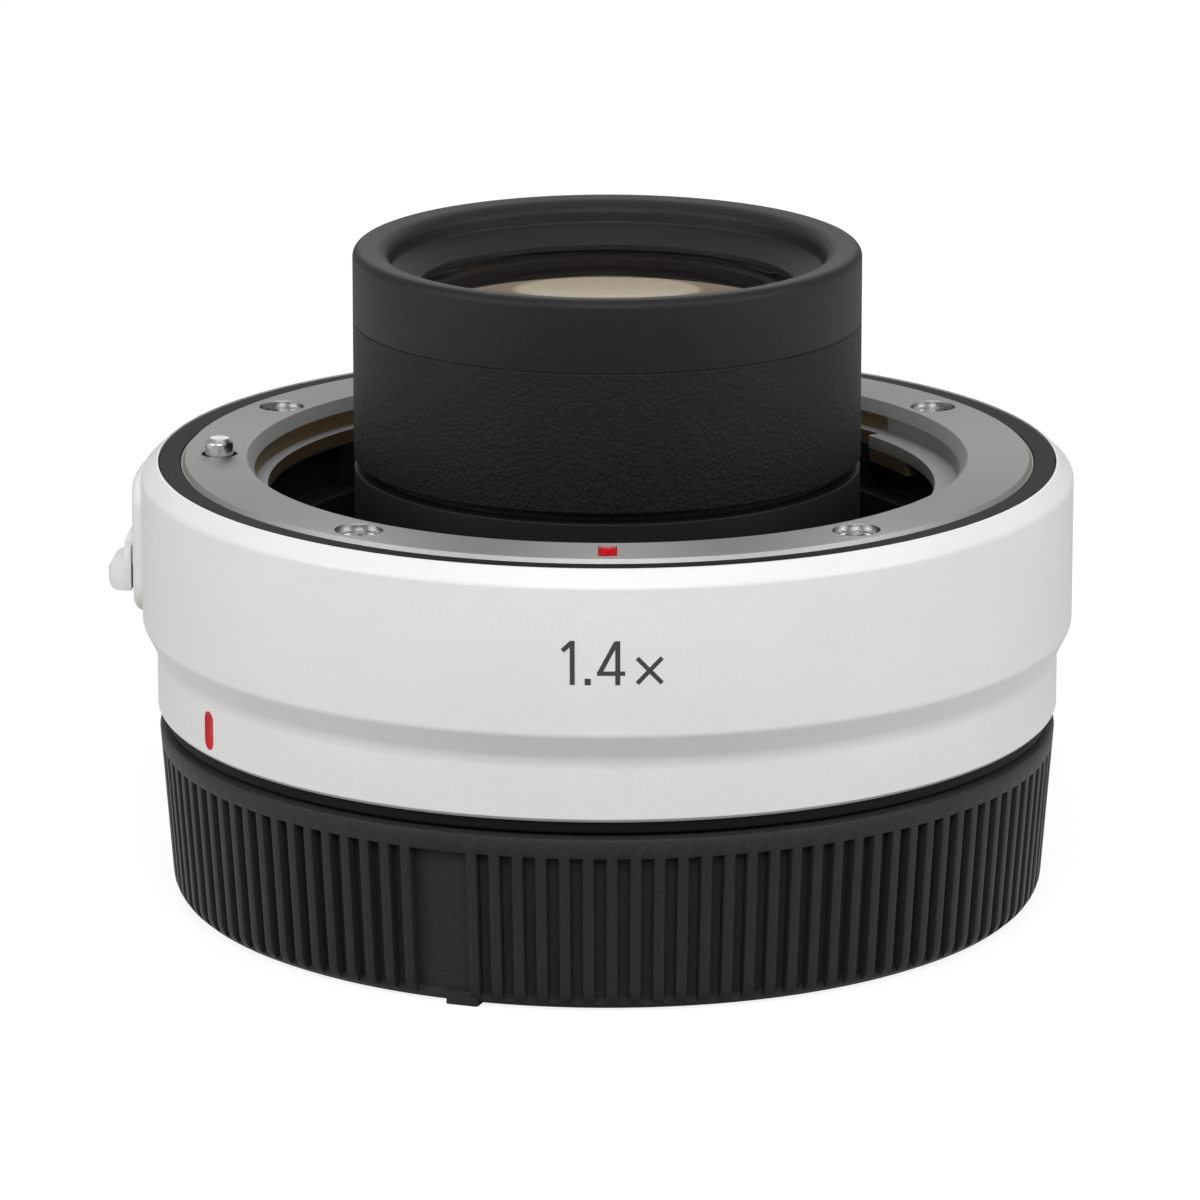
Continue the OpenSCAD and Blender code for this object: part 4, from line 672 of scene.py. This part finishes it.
# The release lever: a white moulded finger tab with a scooped top, on a link through the barrel slot.
# It is screwed to the carriage from inside and slides down against a coil spring.
LEVER_WIDTH = 5.6
LEVER_ROOT = 36.4
LEVER_TIP = 38.26
LEVER_FOOT = 23.3
SCOOP = 2.5
SCOOP_OUT = 38.71
SCOOP_UP = 27.65
scoop = [(SCOOP_OUT + SCOOP * math.cos(math.radians(a)), SCOOP_UP + SCOOP * math.sin(math.radians(a)))
         for a in range(246, 200, -6)]
lever = wire("finger_lever", [(LEVER_ROOT, LEVER_FOOT), (LEVER_TIP, LEVER_FOOT, 0.75), (LEVER_TIP, 25.2, 0.3)]
             + scoop + [(LEVER_ROOT, 26.8)], closed=True)
bpy.ops.mesh.edge_face_add()
bpy.ops.mesh.extrude_region_move(TRANSFORM_OT_translate={"value": (0, LEVER_WIDTH * MM, 0)})
bpy.ops.mesh.select_all(action="SELECT")
bpy.ops.transform.translate(value=(0, -LEVER_WIDTH / 2 * MM, 0))
settle()
tip_plan = put(block("tip_plan", (8, LEVER_WIDTH, 10), {"z": 1.4}), 0, 34.3, 0, 25)
carve(lever, tip_plan, operation="INTERSECT")
soften = lever.modifiers.new("soften", "BEVEL")
soften.width = 0.14 * MM
soften.segments = 3
soften.angle_limit = math.radians(40)
bpy.context.view_layer.objects.active = lever
bpy.ops.object.modifier_apply(modifier=soften.name)
link = put(block("link", (4, 4.4, 2), {"x": 0.2}, segments=2), 0, 34.95, 0, 26.2)
carve(lever, link, operation="UNION")
put(lever, LEVER_AZ)
# White acetal: the barrel's tone with a soft moulded skin.
white_acetal, tree, shader, place = finish("white_acetal", "e3e3e1", 0.4)
lever_skin = add_node(tree, "ShaderNodeTexNoise", {"Vector": place, "Scale": 1 / (0.3 * MM)})["Fac"]
add_node(tree, "ShaderNodeMix", {0: lever_skin, 6: linear("e0e0de"), 7: linear("e7e7e5")},
         {2: shader["Base Color"]}, data_type="RGBA")
add_node(tree, "ShaderNodeBump", {"Height": lever_skin, "Distance": 0.006 * MM}, {"Normal": shader["Normal"]})
fit(lever, white_acetal, "release", "lever_white", "release_lever")

# The rear cap: one black moulding with a finger-grip of fine upright grooves, a plain pad in line
# with the red mark and a small nub under it. Inside, a collar with three tabs holds the rear mount.
PITCHES = 123
PITCH = 360 / PITCHES
CAP_WALL = 33.5
CAP_TOP = 34.36
CAP_SHOULDER = 13.3
CAP_RIM = 13.7
CAP_BORE = 31.9
CAP_FLOOR = 1.8
COLLAR_IN, COLLAR_OUT, COLLAR_TOP = 27, 28.6, 11.7
FILLET = 2
GROOVE_HALF = math.degrees(0.45 / 34)
GROOVE_EDGE = 0.12
PAD_PITCHES = 3
PAD_HALF = PITCH + GROOVE_HALF
PAD_AZ = 248.6
GROOVE_TOP = 12.07
GROOVE_DEPTH = 0.9
RUN_OUT = 0.68
LEAN = (CAP_TOP - CAP_WALL) / (CAP_SHOULDER - FILLET)
fillet = [(CAP_WALL - FILLET + FILLET * math.sin(math.radians(a)), FILLET - FILLET * math.cos(math.radians(a)))
          for a in (0, 17, 33, 48.7, 62, 76, 90)]
cap_section = [(0, 0)] + fillet + [
    (CAP_WALL + LEAN * 5, 7), (CAP_WALL + LEAN * (GROOVE_TOP - FILLET), GROOVE_TOP), (CAP_TOP, CAP_SHOULDER),
    (CAP_TOP - 0.13, 13.58), (CAP_TOP - 0.42, CAP_RIM), (CAP_BORE, CAP_RIM), (CAP_BORE, CAP_FLOOR),
    (COLLAR_OUT, CAP_FLOOR), (COLLAR_OUT, COLLAR_TOP), (COLLAR_IN, COLLAR_TOP), (COLLAR_IN, CAP_FLOOR),
    (0, CAP_FLOOR)]


def cap_wedge(name, half, pitches, columns):
    """A wedge of the cap with one groove sunk in its middle, in edit mode when it returns."""
    wedge = wire(name, cap_section, closed=False)
    shoulder = PITCH * pitches / 2 - half
    for angle, steps in ((shoulder, 1), (2 * half, columns), (shoulder, 1)):
        bpy.ops.mesh.spin(steps=steps, angle=-math.radians(angle), center=(0, 0, 0), axis=(0, 0, 1))
    bpy.ops.mesh.select_all(action="SELECT")
    bpy.ops.mesh.remove_doubles(threshold=WELD)
    bpy.ops.mesh.normals_make_consistent(inside=False)
    low, high = math.radians(shoulder), math.radians(shoulder + 2 * half)

    def in_groove(face):
        middle = face.calc_center_median()
        outside = math.hypot(middle.x, middle.y) > (CAP_WALL - 1) * MM
        upright = RUN_OUT * MM < middle.z < GROOVE_TOP * MM
        return outside and upright and low < math.atan2(middle.y, middle.x) < high

    pick(wedge, in_groove, "FACE")
    bpy.ops.mesh.extrude_region_move()
    mesh = bmesh.from_edit_mesh(wedge.data)
    for vert in mesh.verts:
        if vert.select:
            around = math.atan2(vert.co.y, vert.co.x)
            floor = (CAP_WALL - GROOVE_DEPTH) * MM + LEAN * (vert.co.z - FILLET * MM)
            if vert.co.z > (RUN_OUT + 0.01) * MM:
                vert.co.x, vert.co.y = floor * math.cos(around), floor * math.sin(around)
    bmesh.update_edit_mesh(wedge.data)
    bpy.ops.mesh.select_all(action="SELECT")
    bpy.ops.mesh.remove_doubles(threshold=2 * WELD)

    def on_rim(edge):
        if len(edge.link_faces) != 2 or edge.calc_face_angle(0) < math.radians(30):
            return False
        middle = (edge.verts[0].co + edge.verts[1].co) / 2
        around = math.atan2(middle.y, middle.x)
        wall = (CAP_WALL - 0.2) * MM + LEAN * (middle.z - FILLET * MM)
        return (math.hypot(middle.x, middle.y) > wall and low - 1e-4 < around < high + 1e-4
                and RUN_OUT * MM < middle.z < (GROOVE_TOP + 0.1) * MM)

    pick(wedge, on_rim, "EDGE")
    bpy.ops.mesh.bevel(offset=GROOVE_EDGE * MM, segments=2, affect="EDGES", clamp_overlap=True)
    bpy.ops.object.mode_set(mode="OBJECT")
    return wedge


ribs = cap_wedge("rib", GROOVE_HALF, 1, 2)
rib_copies = PITCHES - PAD_PITCHES - 1
bpy.ops.object.mode_set(mode="EDIT")
bpy.ops.mesh.select_all(action="SELECT")
bpy.ops.mesh.spin(steps=rib_copies, angle=-math.radians(PITCH * rib_copies), center=(0, 0, 0), axis=(0, 0, 1),
                  dupli=True)
bpy.ops.object.mode_set(mode="OBJECT")
put(ribs, PAD_AZ + PAD_PITCHES / 2 * PITCH)
pad = put(cap_wedge("pad", PAD_HALF, PAD_PITCHES, 10), PAD_AZ - PAD_PITCHES / 2 * PITCH)
cap = join("ribbed_cap", [ribs, pad])
bpy.ops.object.mode_set(mode="EDIT")
settle()
inner_tabs = [turned("cap_tab", [(25.2, 10.65), (27.2, 10.65), (27.2, 11.69), (25.2, 11.69, 0.2)], steps=arc,
                     start=first, arc=arc) for first, arc in TABS]
nub = put(block("nub", (2.5, 2.5, 1.1), {"z": 0.2}, segments=3), 251, 31.75, 0, 0.55)
cap = join("ribbed_cap", [cap] + inner_tabs + [nub])
# Moulded ABS from a spark-eroded tool: charcoal black, dull, with a fine even grain.
abs_black, tree, shader, place = finish("spark_grained_abs", "262627", 0.55, Specular_IOR_Level=0.16)
spark = add_node(tree, "ShaderNodeTexNoise", {"Vector": place, "Scale": 1 / (0.14 * MM)})["Fac"]
add_node(tree, "ShaderNodeMix", {0: spark, 6: linear("141415"), 7: linear("3a3a3b")}, {2: shader["Base Color"]},
         data_type="RGBA")
add_node(tree, "ShaderNodeMapRange", {"Value": spark, "To Min": 0.45, "To Max": 0.65}, {"Result": shader["Roughness"]})
add_node(tree, "ShaderNodeBump", {"Height": spark, "Distance": 0.022 * MM}, {"Normal": shader["Normal"]})
fit(cap, abs_black, "cap", "cap_black", "rear_cap", crease=35)

# The power figure on the barrel: dark grey ink, pad-printed on the white enamel after stoving.
# Each stroke is a bar about as thick as a coat of ink, bent round the barrel with the others.
INK = 0.03
INK_PROUD = 0.017
STROKE = 0.36


def stroke(start, end, width=STROKE):
    """A straight bar of ink from one point to another on the flat barrel wall."""
    across, up = end[0] - start[0], end[1] - start[1]
    bar = block("stroke", (INK, math.hypot(across, up), width))
    bar.rotation_euler.x = math.atan2(up, across)
    bar.location = ((BARREL + INK_PROUD - INK / 2) * MM, (start[0] + end[0]) / 2 * MM,
                    (start[1] + end[1]) / 2 * MM)
    bpy.ops.object.transform_apply(location=True, rotation=True, scale=True)
    return bar


figure = stroke((-2.56, 25.66), (-2.56, 28.96))
for bar in (stroke((-3.28, 28.2), (-2.62, 28.82), 0.34), stroke((-1.66, 25.9), (-1.22, 25.9), 0.48),
            stroke((0.73, 25.66), (0.73, 28.96)), stroke((-0.77, 26.53), (1.27, 26.53), 0.32),
            stroke((-0.62, 26.5), (0.62, 28.85), 0.34), stroke((2.14, 25.78), (3.95, 27.67), 0.32),
            stroke((2.14, 27.67), (3.95, 25.78), 0.32)):
    carve(figure, bar, operation="UNION")
figure.name = figure.data.name = "power_figure"
wrap(figure, INDEX_AZ, BARREL, 24)
# Pad-printing ink: dark grey, dull, a little uneven in cover.
ink, tree, shader, place = finish("dark_grey_printing_ink", "3e3e3e", 0.6, Specular_IOR_Level=0.3)
cover = add_node(tree, "ShaderNodeTexNoise", {"Vector": place, "Scale": 1 / (0.3 * MM)})["Fac"]
add_node(tree, "ShaderNodeMix", {0: cover, 6: linear("3a3a3a"), 7: linear("434343")}, {2: shader["Base Color"]},
         data_type="RGBA")
fit(figure, ink, "converter", "chip_black")

# The studio: a sheet of pale paper that runs white to the eye but keeps the contact shadow, a large
# softbox over the camera, a panel at each side and softer lamps above and behind, and the camera.
TABLE_GLOW = 0.85
TABLE_AHEAD = 0.2
ROOM_MIRRORED = 0.45
ROOM_LIGHT = 0.14
bpy.ops.object.select_all(action="DESELECT")
bpy.ops.mesh.primitive_plane_add(size=6)
floor = bpy.context.object
floor.name = "studio_floor"
paper = bpy.data.materials.new("white_background_paper")
surround = bpy.data.worlds.new("studio_surround")
bpy.context.scene.world = surround
for ground in (paper, surround):
    ground.use_nodes = True
    tree = ground.node_tree
    tree.nodes.clear()
    # To the eye and through glass the ground is white. In a mirror the table is bright at both sides and
    # dim before and behind the object, the room is light grey, and other rays get the true tone.
    path = add_node(tree, "ShaderNodeLightPath")
    direct = add_node(tree, "ShaderNodeMath", {0: path["Is Camera Ray"], 1: path["Is Transmission Ray"]},
                      operation="MAXIMUM")[0]
    if ground is paper:
        place = add_node(tree, "ShaderNodeTexCoord")["Object"]
        ray = add_node(tree, "ShaderNodeVectorMath", {0: place}, operation="NORMALIZE")["Vector"]
        sideways = add_node(tree, "ShaderNodeSeparateXYZ", {0: ray})["X"]
        flank = add_node(tree, "ShaderNodeMath", {0: sideways, 1: sideways, 2: TABLE_AHEAD},
                         operation="MULTIPLY_ADD")[0]
    else:
        flank = ROOM_MIRRORED
    mirrored = add_node(tree, "ShaderNodeMath", {0: path["Is Glossy Ray"], 1: flank}, operation="MULTIPLY")[0]
    seen = add_node(tree, "ShaderNodeMath", {0: direct, 1: mirrored}, operation="MAXIMUM")[0]
    if ground is paper:
        lift = add_node(tree, "ShaderNodeMath", {0: seen, 1: TABLE_GLOW}, operation="MULTIPLY")[0]
        sheet = add_node(tree, "ShaderNodeBsdfDiffuse", {"Color": linear("808080")})[0]
        glow = add_node(tree, "ShaderNodeEmission", {"Color": linear("ffffff"), "Strength": lift})[0]
        shown = add_node(tree, "ShaderNodeAddShader", {0: sheet, 1: glow})[0]
        add_node(tree, "ShaderNodeOutputMaterial", {"Surface": shown})
    else:
        strength = add_node(tree, "ShaderNodeMath", {0: seen, 1: ROOM_LIGHT}, operation="MAXIMUM")[0]
        shown = add_node(tree, "ShaderNodeBackground", {"Color": linear("ffffff"), "Strength": strength})[0]
        add_node(tree, "ShaderNodeOutputWorld", {"Surface": shown})
floor.data.materials.append(paper)

for name, azimuth, rise, distance, size, power in (
        ("front_softbox", 0, 40, 0.9, 0.5, 4.4), ("left_panel", -66, 27, 0.8, 0.5, 2.9),
        ("right_panel", 66, 27, 0.8, 0.5, 2.9), ("top_softbox", 180, 82, 0.8, 0.6, 0.8),
        ("back_softbox", 180, 32, 0.9, 0.6, 1.2)):
    turn, lean = math.radians(azimuth), math.radians(rise)
    bpy.ops.object.light_add(type="AREA", rotation=(math.pi / 2 - lean, 0, turn), location=(
        distance * math.cos(lean) * math.sin(turn), -distance * math.cos(lean) * math.cos(turn),
        distance * math.sin(lean)))
    lamp = bpy.context.object
    lamp.name = name
    lamp.data.size = size
    lamp.data.energy = power
    lamp.visible_camera = False

# The camera stands where the photo's perspective puts it, with the long lens that gives the photo's frame.
bpy.ops.object.camera_add(location=(-0.000552, -0.5799, 0.17656), rotation=(math.radians(75.13), 0, 0))
camera = bpy.context.object
camera.data.sensor_width = 36
camera.data.lens = 234.63
camera.data.clip_start = 0.01
bpy.context.scene.camera = camera
bpy.context.scene.view_settings.view_transform = "Standard"
